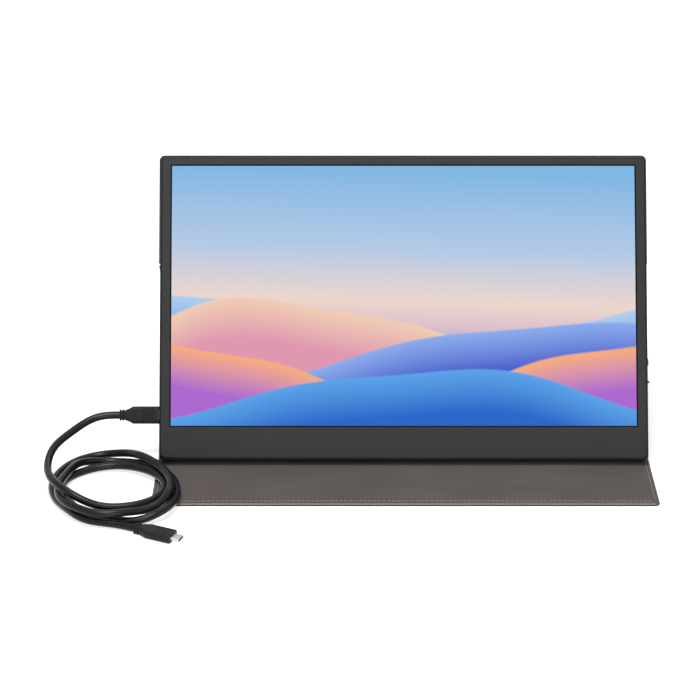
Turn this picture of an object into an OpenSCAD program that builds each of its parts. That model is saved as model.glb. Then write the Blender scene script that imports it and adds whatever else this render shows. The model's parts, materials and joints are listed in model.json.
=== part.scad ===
// Portable 15.6 inch monitor standing in its folding cover, with its signal lead.
// Frame: X to the right, +Y to the back, Z up. Z = 0 is the table, Y = 0 is the line where the
// monitor's rear bottom edge sits on the cover's front panel, X = 0 is the middle of the screen.

/* [Monitor body] */
// Thickness of the body
body_t = 9.5; // [9:0.1:12]
// Radius of the body's front and back edges
edge_r = 2.2; // [1:0.1:3]
// Radius of the body's corners, seen from the front
corner_r = 4.4; // [3:0.1:8]
// Depth of the front bezel, up to the line where it meets the rear housing
bezel_depth = 2.4; // [2:0.1:3]
// Thickness of the bezel's front plate
bezel_plate_t = 0.9; // [0.6:0.1:1.2]
// Thickness of the housing's rear and side walls
wall_t = 1.4; // [1:0.1:2]
// Clearance between pieces inside the body
fit_gap = 0.15; // [0.05:0.05:0.3]

/* [Screen] */
// Width of the picture
screen_w = 344.16; // [330:0.2:346]
// Height of the picture
screen_h = 193.59; // [180:0.2:194]
// Height of the picture's lower edge above the body's bottom
chin_h = 26.4; // [24:0.2:32]
// Width of the bezel beside the picture
side_bezel = 8.62; // [8:0.02:12]
// Height of the bezel above the picture
top_bezel = 6.81; // [6:0.01:10]
// Black margin round the picture inside the bezel
screen_margin = 0.7; // [0.3:0.1:1.5]
// How far the panel's glass reaches past the picture
glass_reach = 2.6; // [2:0.1:4]
// Thickness of the liquid crystal cell
cell_t = 1.1; // [0.8:0.1:1.4]
// Thickness of the diffuser films
film_t = 0.4; // [0.3:0.1:0.6]
// Thickness of the light guide
guide_t = 0.6; // [0.4:0.1:0.8]
// Thickness of the reflector sheet
reflector_t = 0.2; // [0.1:0.1:0.3]
// Thickness of the panel's metal tray
tray_t = 0.4; // [0.3:0.1:0.5]

/* [Ports and keys] */
// Height of the mated port above the body's bottom
port_v = 34.5; // [30:0.5:40]
// Distance between the left side's ports
port_pitch = 16; // [15:0.5:20]
// Depth of the ports and keys behind the face
port_depth = 5.9; // [5.5:0.1:6]
// Height of the headphone jack above the body's bottom
jack_v = 12; // [10:0.5:14]
// Radius of the headphone jack's bore
jack_r = 1.75; // [1.7:0.05:1.8]
// Depth of the headphone jack's bore
jack_depth = 13; // [12:0.5:15]
// Height of the power key above the body's bottom
power_v = 73.7; // [68:0.5:90]
// Length of the power key
power_len = 5; // [4:0.5:8]
// How far the power key stands proud
power_proud = 1; // [0.6:0.1:1.5]
// Travel of the power key
power_travel = 0.4; // [0.2:0.1:0.5]
// Height of the menu rocker above the body's bottom
rocker_v = 58.9; // [50:0.5:60]
// Width of the menu rocker's nub at its foot
rocker_w = 4.4; // [3:0.2:5]
// How far the menu rocker's nub stands proud
rocker_proud = 1.5; // [1:0.1:2]
// Thickness of the keys
key_t = 2.2; // [1.6:0.1:2.6]

/* [Cover] */
// How far the cover's panels reach past the body at each side
cover_proud = 1.7; // [0:0.1:3]
// Thickness of a cover panel
cover_t = 3; // [2.8:0.1:4]
// Thickness of the outer skin
skin_t = 0.8; // [0.5:0.1:1]
// Thickness of the inner lining
lining_t = 0.6; // [0.4:0.1:0.8]
// Width of the skin turned over at the panels' edges
rim_w = 1.2; // [0.8:0.1:2]
// Radius of the panels' corners
panel_r = 4; // [3:0.5:8]
// Length of the front panel, which lies on the table
base_len = 231; // [222:0.5:240]
// Length of lining in front of the monitor's contact line
seat_front = 63.8; // [58:0.2:72]
// Height of the fold across the monitor's back
fold_v = 147.5; // [142:0.5:152]
// How far the top panel reaches past the body's top
cover_over = 2.8; // [0:0.1:4]
// Width of the spine panel at the foot of the strut
spine_w = 11; // [10:0.5:14]
// Width of the pressed groove between spine and strut
groove_w = 2; // [1:0.5:3]
// Gap on each side of a fold line
fold_gap = 0.4; // [0.3:0.05:0.6]
// Air gap between a cover panel and the monitor
air_gap = 0.3; // [0.2:0.05:0.5]
// Lean of the screen from upright
lean = 28.8; // [24:0.2:34]
// Distance of the pressed line in front of the monitor's contact line
crease_y = 5.8; // [4:0.2:12]
// Radius of a cover magnet
magnet_r = 5; // [4:0.5:6]
// Gap between a magnet and its pocket
magnet_gap = 0.1; // [0.05:0.05:0.2]

/* [Lead] */
// Diameter of the cord
cord_d = 5.8; // [5:0.1:6]
// Length of the plug's grip
grip_len = 19.2; // [16:0.2:24]
// Width of the plug's grip
grip_w = 12.9; // [12:0.1:14]
// Thickness of the plug's grip
grip_t = 6.6; // [6.4:0.1:7]
// Length of the plug's tapered shoulder
shoulder_len = 4.4; // [3:0.2:7]
// Length of the plug's strain relief
relief_len = 5.4; // [5:0.2:9]
// Width of the strain relief
relief_w = 8.4; // [8:0.1:9]
// Length of the plug's metal shell outside its grip
shell_len = 6.5; // [6:0.1:7]
// Width of the plug's metal shell
shell_w = 8.2; // [8:0.1:8.3]
// Thickness of the plug's metal shell
shell_t = 2.4; // [2.3:0.1:2.5]
// Thickness of the shell's sheet metal
shell_wall = 0.3; // [0.2:0.05:0.35]

/* [Hidden] */
$fn = 48;
eps = 0.01;

// How far a cut reaches past what it cuts
past = 1;

// ---- the monitor's own frame: u to the right, w behind the face, v up the face ----
body_w = screen_w + 2 * side_bezel;
body_h = chin_h + screen_h + top_bezel;
cover_w = body_w + 2 * cover_proud;
contact_w = body_t - edge_r;
body_y = -(contact_w * cos(lean) + edge_r * sin(lean));
body_z = cover_t + air_gap + edge_r + contact_w * sin(lean) - edge_r * cos(lean);
function on_body(w, v) =
    [body_y + w * cos(lean) + v * sin(lean), body_z - w * sin(lean) + v * cos(lean)];

module on_monitor() translate([0, body_y, body_z]) rotate([-lean, 0, 0]) children();

// ---- the folds ----
top_w = body_t + air_gap;
strut_t = cover_t - air_gap;
upper_axis = on_body(top_w + cover_t, fold_v);
foot_y = base_len - seat_front;
fold_dy = upper_axis[0] - foot_y;
fold_dz = upper_axis[1] - cover_t;
fold_reach = sqrt(fold_dy * fold_dy + fold_dz * fold_dz);
strut_len = sqrt(fold_reach * fold_reach - strut_t * strut_t);
strut_tilt = atan2(fold_dz, fold_dy) - acos(strut_t / fold_reach);
strut_open = 90 + strut_tilt;
upper_open = strut_tilt + lean;
top_len = body_h + cover_over - fold_v - fold_gap;
echo(upper_axis_yz = upper_axis, foot_axis_yz = [foot_y, cover_t], strut_len = strut_len);
echo(strut_opens_by = strut_open, upper_fold_flattens_by = upper_open);

module on_strut() translate([0, foot_y, cover_t]) rotate([strut_tilt, 0, 0]) children();

// ---- screen stack, as depths behind the face ----
cell_w = bezel_plate_t + fit_gap;
film_w = cell_w + cell_t;
guide_w = film_w + film_t;
reflector_w = guide_w + guide_t;
tray_w = reflector_w + reflector_t;
tray_back = tray_w + tray_t;
rear_w = body_t - wall_t;
stack_w = screen_w + 2 * glass_reach;
stack_h = screen_h + 2 * glass_reach;
stack_v = chin_h - glass_reach;
side_u = body_w / 2;
inner_u = side_u - wall_t;

// ---- circuit boards ----
board_t = 1;
board_w = port_depth - board_t / 2;
signal_board_w = 78;
signal_board_h = 62;
signal_u = -inner_u + fit_gap;
signal_v = port_v - 12;
signal_top = signal_v + signal_board_h;
timing_w = tray_back + fit_gap;
timing_t = 0.8;
timing_h = 9;
timing_len = 150;
timing_lift = 2;
ribbon_t = 0.2;
ribbon_lap = 5;
key_board_w = 9;
key_board_h = 36;
key_board_v = rocker_v - 9;
boss_r = 2.4;
boss_inset = 5;
boss_from_sockets = 20;
boss_from_ribbon = 8;
key_boss_inset = 3.5;
screw_r = 0.8;
screw_len = 2.2;
screw_head_r = 1.7;
screw_head_t = 0.6;
thread_gap = 0.05;

// ---- sockets ----
socket_w = 9;
socket_t = 3.3;
socket_wall = 0.25;
socket_len = 7.6;
socket_back = 0.8;
socket_sunk = 0.2;
tongue_w = 6.7;
tongue_t = 0.7;
tongue_len = 4.4;
video_w = 11.4;
video_t = 3.2;
video_wall = 0.3;

// ---- keys ----
key_gap = 0.3;
key_edge_r = 0.6;
// Room for the rocker's swing, above and below it
rocker_gap = 3 * key_gap;
flange_t = 0.8;
flange_over = 1;
pivot_r = 0.7;
pivot_fit = 0.05;
hub_r = 1.6;
pivot_u = inner_u - 4.2;
key_board_u = pivot_u - hub_r - 9.6;
key_board_end = key_board_u + key_board_w;

// ---- the lead: a coil of three loose turns that lies partly on the cover's front panel ----
cord_r = cord_d / 2;
coil_sides = 6;
coil_steps = 2;                  // rings to each span between two control points
cord_sides = 8;
cord_steps = 4;

// The mated plug's relief ends here
plug_len = grip_len + shoulder_len + relief_len;
plug_gap = 0.4;
plug_end_yz = on_body(port_depth, port_v);
plug_end = [-side_u - plug_gap - plug_len, plug_end_yz[0], plug_end_yz[1]];
lead_dir = [-1, 0, 0];
left_side = [-side_u, 0, 0];
free_turn = -24.5;
free_dir = [cos(free_turn), sin(free_turn), 0];
free_relief_end = left_side + [-8.4, -101.5, 3.4];

// The control points of the cord's curve, by hand, from the body's left side: down from the mated
// plug, three turns of which each lies on the one before where they cross, and out to the free plug
cord_lay = [[-64.8, -1.3, 27.5], [-76.9, -17.7, 24.4], [-78.6, -38.6, 17.2],
            [-72.2, -58.5, 18.6], [-57.9, -74.7, 16.8], [-39, -78.3, 7.5], [-19.3, -76.5, 6.1],
            [0.4, -69.4, 7], [10.6, -49.9, 6.4], [4, -29.8, 6.8], [-10.5, -16.2, 6.2],
            [-28.8, -6.8, 4.4], [-48.4, -11.1, 4], [-66, -23.2, 2.5], [-69.4, -44.2, 4],
            [-60.4, -62.1, 3.3], [-48.6, -78.7, 2.9], [-30.8, -86.3, 3.4], [-10.9, -93.5, 2.5],
            [8.4, -87, 8], [17.5, -68.5, 7.2], [17.1, -47.5, 7.8], [10.5, -27.9, 6.9],
            [-3.9, -12.6, 7.4], [-21, -1.8, 3.8], [-41.6, 1.2, 2.8], [-59.2, -10.4, 9],
            [-63.4, -31.5, 11.3], [-69.4, -50.6, 10.5], [-66.2, -71.8, 10.8],
            [-52.5, -87.2, 12.1], [-33.9, -96.6, 10.6], [-14.3, -90.6, 11], [3.2, -79.3, 5.4],
            [14.4, -62, 13.6], [11.6, -42.1, 12.6], [3, -24, 12.7], [-11.8, -10.4, 14.1],
            [-23.8, 5.4, 8.1], [-44.6, 9.9, 4.3], [-62.7, -0.9, 4.7], [-73.1, -18.7, 3.6],
            [-75.7, -38.9, 5], [-71, -58.9, 3.3], [-59.6, -75.8, 5.1], [-46.2, -93.3, 4.6]];
cord_pull = 18.7;                // how far the curve is led straight out of each plug
cord_controls = concat([plug_end, plug_end + cord_pull * lead_dir],
                       [for (p = cord_lay) left_side + p],
                       [free_relief_end - cord_pull * free_dir, free_relief_end]);
cord_spans = len(cord_controls) - 1;
coil_first = 8;                  // the spans at which the coil begins and ends
coil_last = 44;

function unit(v) = v / norm(v);
function control(i) =
    i < 0 ? 2 * cord_controls[0] - cord_controls[1]
    : i > cord_spans ? 2 * cord_controls[cord_spans] - cord_controls[cord_spans - 1]
    : cord_controls[i];
// The curve is a uniform cubic B-spline: its point at share t of span i
function cord_point(i, t) =
    (pow(1 - t, 3) * control(i - 1) + (3 * pow(t, 3) - 6 * t * t + 4) * control(i)
     + (3 * (t + t * t - pow(t, 3)) + 1) * control(i + 1) + pow(t, 3) * control(i + 2)) / 6;
function cord_dir(i) = unit(control(i + 1) - control(i - 1));
function cord_run(from, to, steps) =
    concat([for (i = [from:to - 1], k = [0:steps - 1]) cord_point(i, k / steps)], [cord_point(to - 1, 1)]);
function run_length(p) = sum([for (i = [1:len(p) - 1]) norm(p[i] - p[i - 1])]);
function sum(v, i = 0) = i < len(v) ? v[i] + sum(v, i + 1) : 0;

// Least gap of the cord to itself, between points that are two spans apart or more
cord_fine = cord_run(0, cord_spans, cord_steps);
fine_last = len(cord_fine) - 1;
cord_gap = min([for (i = [0:fine_last - 2 * cord_steps], j = [i + 2 * cord_steps:fine_last])
                    norm(cord_fine[i] - cord_fine[j]) - cord_d]);
echo(cord_least_gap = cord_gap, cord_length = run_length(cord_fine));

// ================= shared shapes =================

// Rectangle with round corners, its low corner at the origin
module rounded(size, r) {
    translate([r, 0]) square([size[0] - 2 * r, size[1]]);
    translate([0, r]) square([size[0], size[1] - 2 * r]);
    for (x = [r, size[0] - r], y = [r, size[1] - r]) translate([x, y]) circle(r);
}

// Slot shape, centred
module stadium(w, t) {
    square([w - t, t], center = true);
    for (s = [-1, 1]) translate([s * (w - t) / 2, 0]) circle(t / 2);
}

// An outline in u and v, drawn as a slab from depth w
module slab(w, t) translate([0, w + t, 0]) rotate([90, 0, 0]) linear_extrude(t) children();

// An outline in depth and height, drawn as a bar to the right from u
module bar(u, len) translate([u, 0, 0]) rotate([90, 0, 90]) linear_extrude(len) children();

// The body's outer form: all edges round
module body_form() {
    intersection() {
        slab(0, body_t) translate([-side_u, 0]) rounded([body_w, body_h], corner_r);
        bar(-side_u, body_w) rounded([body_t, body_h], edge_r);
        linear_extrude(body_h) translate([-side_u, 0]) rounded([body_w, body_t], edge_r);
    }
}

// The space inside the body's walls
module body_inside() {
    slab(bezel_plate_t, rear_w - bezel_plate_t)
        translate([-inner_u, wall_t])
            rounded([2 * inner_u, body_h - 2 * wall_t], corner_r - wall_t);
}

// A port's frame: local z points out of the left side, x up the face, y to the back
module at_port(n) {
    on_monitor() translate([-side_u, port_depth, port_v + n * port_pitch]) rotate([0, -90, 0])
        children();
}

// The free plug's frame: local z points out of its mouth, y up
module at_free_plug() {
    translate(free_relief_end) rotate([0, 0, free_turn]) rotate([90, 0, 90]) children();
}

// The cord from one control point to another, as one closed tube with the given number of sides
module cord_tube(from, to, steps, sides) {
    path = cord_run(from, to, steps);
    n = len(path);
    dirs = [for (i = [0:n - 1])
        i == 0 ? cord_dir(from) : i == n - 1 ? cord_dir(to) : unit(path[i + 1] - path[i - 1])];
    points = [for (i = [0:n - 1])
        let (flat = unit(cross([0, 0, 1], dirs[i])), up = cross(dirs[i], flat))
        for (k = [0:sides - 1])
            let (a = 360 * (k + 0.5) / sides)
            path[i] + cord_r * (cos(a) * flat + sin(a) * up)];
    walls = [for (i = [0:n - 2], k = [0:sides - 1])
        let (a = i * sides + k, b = i * sides + (k + 1) % sides)
        each [[a, b, b + sides], [a, b + sides, a + sides]]];
    caps = [for (k = [1:sides - 2])
        let (last = (n - 1) * sides)
        each [[0, k + 1, k], [last, last + k, last + k + 1]]];
    polyhedron(points = points, faces = concat([for (f = walls) [f[0], f[2], f[1]]],
                                               [for (f = caps) [f[0], f[2], f[1]]]));
}

// ================= cover: front panel =================
panel_x = -cover_w / 2;
base_y = -seat_front;
base_depth = base_len - fold_gap;
board_gap = 0.6;
board_inset = rim_w + board_gap;
board_r = panel_r - rim_w;
core_t = cover_t - skin_t - lining_t;
strut_core_t = strut_t - skin_t - lining_t;

// Shell of the skin: a sheet with its rim turned up round the board and lining
module skin_tray(size, thick, r) {
    difference() {
        linear_extrude(thick) rounded(size, r);
        translate([rim_w, rim_w, skin_t])
            linear_extrude(thick)
                rounded([size[0] - 2 * rim_w, size[1] - 2 * rim_w], max(r - rim_w, 0.5));
    }
}

// Board or lining inside the rim
module core(size, low, thick, r) {
    translate([board_inset, board_inset, low])
        linear_extrude(thick)
            rounded([size[0] - 2 * board_inset, size[1] - 2 * board_inset], max(r - rim_w, 0.5));
}

base_size = [cover_w, base_depth];
seat_magnet_x = [for (k = [-1.5:1.5]) k * 80];
catch_inset = [32.4, 14];
catch_magnet_x = [-cover_w / 2 + catch_inset[0], cover_w / 2 - catch_inset[0]];

module base_magnet_places() {
    for (x = seat_magnet_x) translate([x, -contact_w / 2, 0]) children();
    for (x = catch_magnet_x) translate([x, base_y + catch_inset[1], 0]) children();
}

module base_skin() color("#262425") translate([panel_x, base_y, 0]) skin_tray(base_size, cover_t, panel_r);

module base_board() {
    color("#6b6259") difference() {
        translate([panel_x, base_y, 0]) core(base_size, skin_t, core_t, panel_r);
        base_magnet_places() cylinder(r = magnet_r + magnet_gap, h = cover_t);
    }
}

crease_w = 1;
crease_deep = 0.25;
module base_lining() {
    color("#585350") difference() {
        translate([panel_x, base_y, 0]) core(base_size, skin_t + core_t, lining_t, panel_r);
        translate([panel_x, -crease_y - crease_w / 2, cover_t - crease_deep])
            cube([cover_w, crease_w, lining_t]);
    }
}

module base_magnets() {
    color("#9a9a98") base_magnet_places() translate([0, 0, skin_t]) cylinder(r = magnet_r, h = core_t);
}

// ================= cover: strut with spine =================
strut_size = [cover_w, strut_len - 2 * fold_gap];

// Panel drawn flat with its lining side down at y = 0 of the strut's frame
module strut_flat() {
    on_strut() translate([panel_x, strut_t, fold_gap]) rotate([90, 0, 0]) children();
}

module strut_skin() color("#262425") strut_flat() skin_tray(strut_size, strut_t, panel_r);

module strut_board() {
    color("#6b6259") strut_flat()
        translate([board_inset, spine_w + groove_w, skin_t])
            linear_extrude(strut_core_t)
                rounded([cover_w - 2 * board_inset,
                         strut_size[1] - spine_w - groove_w - board_inset], board_r);
}

module spine_board() {
    color("#6b6259") strut_flat()
        translate([board_inset, board_inset, skin_t])
            linear_extrude(strut_core_t)
                rounded([cover_w - 2 * board_inset, spine_w - board_inset], board_r);
}

module strut_lining() {
    color("#585350") strut_flat() difference() {
        core(strut_size, skin_t + strut_core_t, lining_t, panel_r);
        translate([0, spine_w + groove_w / 2 - crease_w / 2, strut_t - crease_deep])
            cube([cover_w, crease_w, lining_t]);
    }
}

// ================= cover: top panel =================
top_size = [cover_w, top_len];
top_magnet_x = [for (k = [-2:2]) k * 65];
top_magnet_v = top_len / 2;

// Panel drawn flat with its lining side against the monitor's back
module top_flat() {
    on_monitor() translate([panel_x, top_w + cover_t, fold_v + fold_gap]) rotate([90, 0, 0]) children();
}

module top_magnet_places() {
    for (x = top_magnet_x) translate([cover_w / 2 + x, top_magnet_v, 0]) children();
}

module top_skin() color("#262425") top_flat() skin_tray(top_size, cover_t, panel_r);

module top_board() {
    color("#6b6259") top_flat() difference() {
        core(top_size, skin_t, core_t, panel_r);
        top_magnet_places() cylinder(r = magnet_r + magnet_gap, h = cover_t);
    }
}

module top_lining() color("#585350") top_flat() core(top_size, skin_t + core_t, lining_t, panel_r);

module top_magnets() {
    color("#9a9a98") top_flat() top_magnet_places()
        translate([0, 0, skin_t]) cylinder(r = magnet_r, h = core_t);
}

// ================= cover: the two folds =================
fold_sheet_t = 0.6;
fold_len = cover_w - 2 * panel_r;

// Bent sheet round a fold line: a part ring in depth and height, extruded along X
module bent_sheet(r, from, to) {
    rotate([90, 0, 90]) linear_extrude(fold_len, center = true) difference() {
        circle(r);
        circle(r - fold_sheet_t);
        rotate(to) translate([-2 * r, 0]) square([4 * r, 4 * r]);
        rotate(from) translate([-2 * r, -4 * r]) square([4 * r, 4 * r]);
    }
}

sheet_margin = 4;

module foot_fold() {
    color("#262425") translate([0, foot_y, cover_t])
        bent_sheet(strut_t, -90 + sheet_margin, strut_tilt - sheet_margin);
}

module upper_fold() {
    color("#585350") translate([0, upper_axis[0], upper_axis[1]])
        bent_sheet(strut_t, 180 - lean + sheet_margin, 180 + strut_tilt - sheet_margin);
}

// ================= monitor: shell =================
// Width, thickness and height of the steel plates that the cover's magnets pull on
keeper_size = [58, 0.5, 22];
keeper_v = fold_v + fold_gap + top_magnet_v - keeper_size[2] / 2;
rib_gap = 6;
rib_low = signal_top + rib_gap;
rib_high = keeper_v - rib_gap;
rib_v = [rib_low, (rib_low + rib_high) / 2, rib_high, keeper_v + keeper_size[2] + rib_gap];
rib_t = 1.2;
rib_len = 300;
vent_count = 12;
vent_pitch = 3.4;
vent_w = 1.6;
vent_h = 7;
vent_v = 13;
speaker_size = [44, 4.6, 15];
// The jack's block, its sleeve through the wall and its depth behind the face
jack_w = body_t / 2 + 0.1;
jack_sleeve_r = jack_r + 0.35;
jack_block = 6;
jack_len = 15;
jack_end = inner_u - fit_gap - jack_len;
speaker_u = jack_end - speaker_size[0] / 2 - 14;
cut_len = wall_t + 2 * past;

module boss_places() {
    for (u = [signal_u + boss_from_sockets, signal_u + signal_board_w - boss_from_ribbon],
         v = [signal_v + boss_inset, signal_top - boss_inset])
        translate([u, 0, v]) children();
    for (v = [key_board_v + key_boss_inset, key_board_v + key_board_h - key_boss_inset])
        translate([key_board_u + key_board_w / 2, 0, v]) children();
}

module rear_housing() {
    color("#2e2e30") on_monitor() difference() {
        union() {
            difference() {
                body_form();
                body_inside();
                translate([-body_w, -past, -past]) cube([2 * body_w, bezel_depth + past, body_h + 2 * past]);
            }
            for (v = rib_v)
                translate([-rib_len / 2, tray_back + fit_gap, v])
                    cube([rib_len, rear_w - tray_back - fit_gap + eps, rib_t]);
            boss_places() translate([0, rear_w + eps, 0]) rotate([90, 0, 0])
                cylinder(r = boss_r, h = rear_w - board_w - board_t);
        }
        boss_places() translate([0, rear_w, 0]) rotate([90, 0, 0])
            cylinder(r = screw_r, h = 2 * wall_t);
        for (n = [0, 1])
            translate([-side_u - past, port_depth, port_v + n * port_pitch]) rotate([0, 90, 0])
                linear_extrude(cut_len) stadium(socket_w + 2 * fit_gap, socket_t + 2 * fit_gap);
        translate([-side_u - past, port_depth - video_t / 2 - fit_gap,
                   port_v + 2 * port_pitch - video_w / 2 - fit_gap])
            cube([cut_len, video_t + 2 * fit_gap, video_w + 2 * fit_gap]);
        translate([inner_u - past, port_depth - key_t / 2 - key_gap, power_v - power_len / 2 - key_gap])
            cube([cut_len, key_t + 2 * key_gap, power_len + 2 * key_gap]);
        translate([inner_u - past, port_depth - key_t / 2 - key_gap, rocker_v - rocker_w / 2 - rocker_gap])
            cube([cut_len, key_t + 2 * key_gap, rocker_w + 2 * rocker_gap]);
        translate([inner_u - past, jack_w, jack_v]) rotate([0, 90, 0])
            cylinder(r = jack_sleeve_r + fit_gap, h = cut_len);
        for (s = [-1, 1], i = [0:vent_count - 1])
            translate([s * speaker_u + (i - (vent_count - 1) / 2) * vent_pitch - vent_w / 2,
                       rear_w - past, vent_v - vent_h / 2])
                cube([vent_w, cut_len, vent_h]);
    }
}

module front_bezel() {
    opening_w = screen_w + 2 * screen_margin;
    opening_h = screen_h + 2 * screen_margin;
    color("#3a3a3c") on_monitor() difference() {
        body_form();
        body_inside();
        translate([-body_w, bezel_depth - fit_gap / 2, -past])
            cube([2 * body_w, body_t, body_h + 2 * past]);
        translate([-opening_w / 2, -past, chin_h - screen_margin]) cube([opening_w, body_t, opening_h]);
    }
}

// ================= monitor: screen stack =================
module stack_sheet(w, t, less = 0) {
    on_monitor() translate([-stack_w / 2 + less, w, stack_v + less])
        cube([stack_w - 2 * less, t, stack_h - 2 * less]);
}

led_h = 1.4;
module lcd_cell() color("#16213a") stack_sheet(cell_w, cell_t);
module diffuser_films() color("#f2f2ee") stack_sheet(film_w, film_t, tray_t);
module reflector_sheet() color("#fbfbf8") stack_sheet(reflector_w, reflector_t, tray_t);

module light_guide() {
    color("#dfeaec") on_monitor()
        translate([-stack_w / 2 + tray_t, guide_w, stack_v + tray_t + led_h + fit_gap])
            cube([stack_w - 2 * tray_t, guide_t, stack_h - 2 * tray_t - led_h - fit_gap]);
}

module led_strip() {
    color("#f4e9b8") on_monitor() translate([-stack_w / 2 + tray_t, guide_w, stack_v + tray_t])
        cube([stack_w - 2 * tray_t, guide_t, led_h]);
}

module panel_tray() {
    color("#b9bcbd") on_monitor() difference() {
        translate([-stack_w / 2, film_w, stack_v]) cube([stack_w, tray_back - film_w, stack_h]);
        translate([-stack_w / 2 + tray_t, film_w - past, stack_v + tray_t])
            cube([stack_w - 2 * tray_t, tray_w - film_w + past, stack_h - 2 * tray_t]);
    }
}

// ================= monitor: electronics =================
module timing_board() {
    color("#1f5b3c") on_monitor() translate([-timing_len / 2, timing_w, stack_v + timing_lift])
        cube([timing_len, timing_t, timing_h]);
}

module panel_ribbon() {
    from = signal_u + signal_board_w - ribbon_lap;
    to = -timing_len / 2 + ribbon_lap;
    color("#b8752c") on_monitor()
        translate([from, board_w - ribbon_t, stack_v + timing_lift + 1])
            cube([to - from, ribbon_t, timing_h - 2]);
}

module socket_notch(n, w, t, len) {
    translate([signal_u - past, port_depth - t / 2 - fit_gap, port_v + n * port_pitch - w / 2 - fit_gap])
        cube([len + past, t + 2 * fit_gap, w + 2 * fit_gap]);
}

module signal_board() {
    color("#1f5b3c") on_monitor() difference() {
        translate([signal_u, board_w, signal_v]) cube([signal_board_w, board_t, signal_board_h]);
        socket_notch(0, socket_w, socket_t, socket_len);
        socket_notch(1, socket_w, socket_t, socket_len);
        socket_notch(2, video_w, video_t, socket_len);
        boss_places() translate([0, rear_w, 0]) rotate([90, 0, 0])
            cylinder(r = screw_r + fit_gap, h = rear_w);
    }
}

module board_screws() {
    color("#8f9192") on_monitor() boss_places() translate([0, board_w, 0]) rotate([-90, 0, 0]) {
        translate([0, 0, -screw_head_t]) cylinder(r = screw_head_r, h = screw_head_t);
        cylinder(r = screw_r - thread_gap, h = screw_len);
    }
}

// A port's metal shell, with its closed inner end
module usb_socket(n) {
    at_port(n) translate([0, 0, -socket_len]) difference() {
        linear_extrude(socket_len - socket_sunk) stadium(socket_w, socket_t);
        translate([0, 0, socket_back]) linear_extrude(socket_len)
            stadium(socket_w - 2 * socket_wall, socket_t - 2 * socket_wall);
    }
}

module display_socket() color("#a7a9aa") usb_socket(0);
module power_socket() color("#a7a9aa") usb_socket(1);

module socket_tongues() {
    color("#1c1c1e") for (n = [0, 1]) at_port(n)
        translate([-tongue_w / 2, -tongue_t / 2, socket_back - socket_len])
            cube([tongue_w, tongue_t, tongue_len]);
}

module video_socket() {
    color("#a7a9aa") at_port(2) translate([-video_w / 2, -video_t / 2, -socket_len]) difference() {
        cube([video_w, video_t, socket_len - socket_sunk]);
        translate([video_wall, video_wall, socket_back])
            cube([video_w - 2 * video_wall, video_t - 2 * video_wall, socket_len]);
    }
}

module headphone_jack() {
    color("#1c1c1e") on_monitor() difference() {
        union() {
            translate([jack_end, jack_w - jack_block / 2, jack_v - jack_block / 2])
                cube([jack_len, jack_block, jack_block]);
            translate([inner_u - fit_gap - eps, jack_w, jack_v]) rotate([0, 90, 0])
                cylinder(r = jack_sleeve_r, h = wall_t + fit_gap);
        }
        translate([side_u - jack_depth, jack_w, jack_v]) rotate([0, 90, 0])
            cylinder(r = jack_r, h = jack_depth + past);
    }
}

module speakers() {
    color("#202022") on_monitor() for (s = [-1, 1])
        translate([s * speaker_u - speaker_size[0] / 2, rear_w - fit_gap - speaker_size[1],
                   vent_v - speaker_size[2] / 2])
            cube(speaker_size);
}

module keeper_plates() {
    color("#8c8f90") on_monitor() for (x = top_magnet_x)
        translate([x - keeper_size[0] / 2, rear_w - keeper_size[1], keeper_v]) cube(keeper_size);
}

// ================= monitor: keys =================
module key_board() {
    color("#1f5b3c") on_monitor() difference() {
        translate([key_board_u, board_w, key_board_v]) cube([key_board_w, board_t, key_board_h]);
        boss_places() translate([0, rear_w, 0]) rotate([90, 0, 0])
            cylinder(r = screw_r + fit_gap, h = rear_w);
    }
}

flange_u = inner_u - key_gap - flange_t;
// How far the switch and the rocker's bracket lie on the key board
board_lap = 3;
switch_t = board_w - tray_back - fit_gap;
switch_h = 4;
plunger_len = 1;
plunger_h = 2;
// The power key's switch: a block and its plunger, carried by the key board
module key_switch() {
    switch_u = key_board_end - board_lap;
    plunger_end = flange_u - power_travel - fit_gap;
    color("#d8d5cc") on_monitor() union() {
        translate([switch_u, board_w - switch_t, power_v - switch_h / 2])
            cube([plunger_end - plunger_len - switch_u, switch_t, switch_h]);
        translate([plunger_end - plunger_len - eps, board_w - switch_t, power_v - plunger_h / 2])
            cube([plunger_len + eps, switch_t, plunger_h]);
    }
}

module power_key() {
    color("#3c3c3e") on_monitor() union() {
        translate([flange_u, port_depth - (key_t + flange_over) / 2, power_v - power_len / 2 - flange_over])
            cube([flange_t, key_t + flange_over, power_len + 2 * flange_over]);
        bar(flange_u, side_u + power_proud - flange_u)
            translate([port_depth - key_t / 2, power_v - power_len / 2])
                rounded([key_t, power_len], key_edge_r);
    }
}

// Bracket on the key board, with the pin that the rocker turns on
module rocker_pivot() {
    bracket_w = port_depth + key_t / 2 + key_gap;
    color("#d8d5cc") on_monitor() union() {
        translate([key_board_end - board_lap, bracket_w, rocker_v - hub_r])
            cube([pivot_u + pivot_r - key_board_end + board_lap, rear_w - fit_gap - bracket_w, 2 * hub_r]);
        translate([pivot_u, bracket_w + eps, rocker_v]) rotate([90, 0, 0])
            cylinder(r = pivot_r, h = key_t + 2 * key_gap);
    }
}

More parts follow.
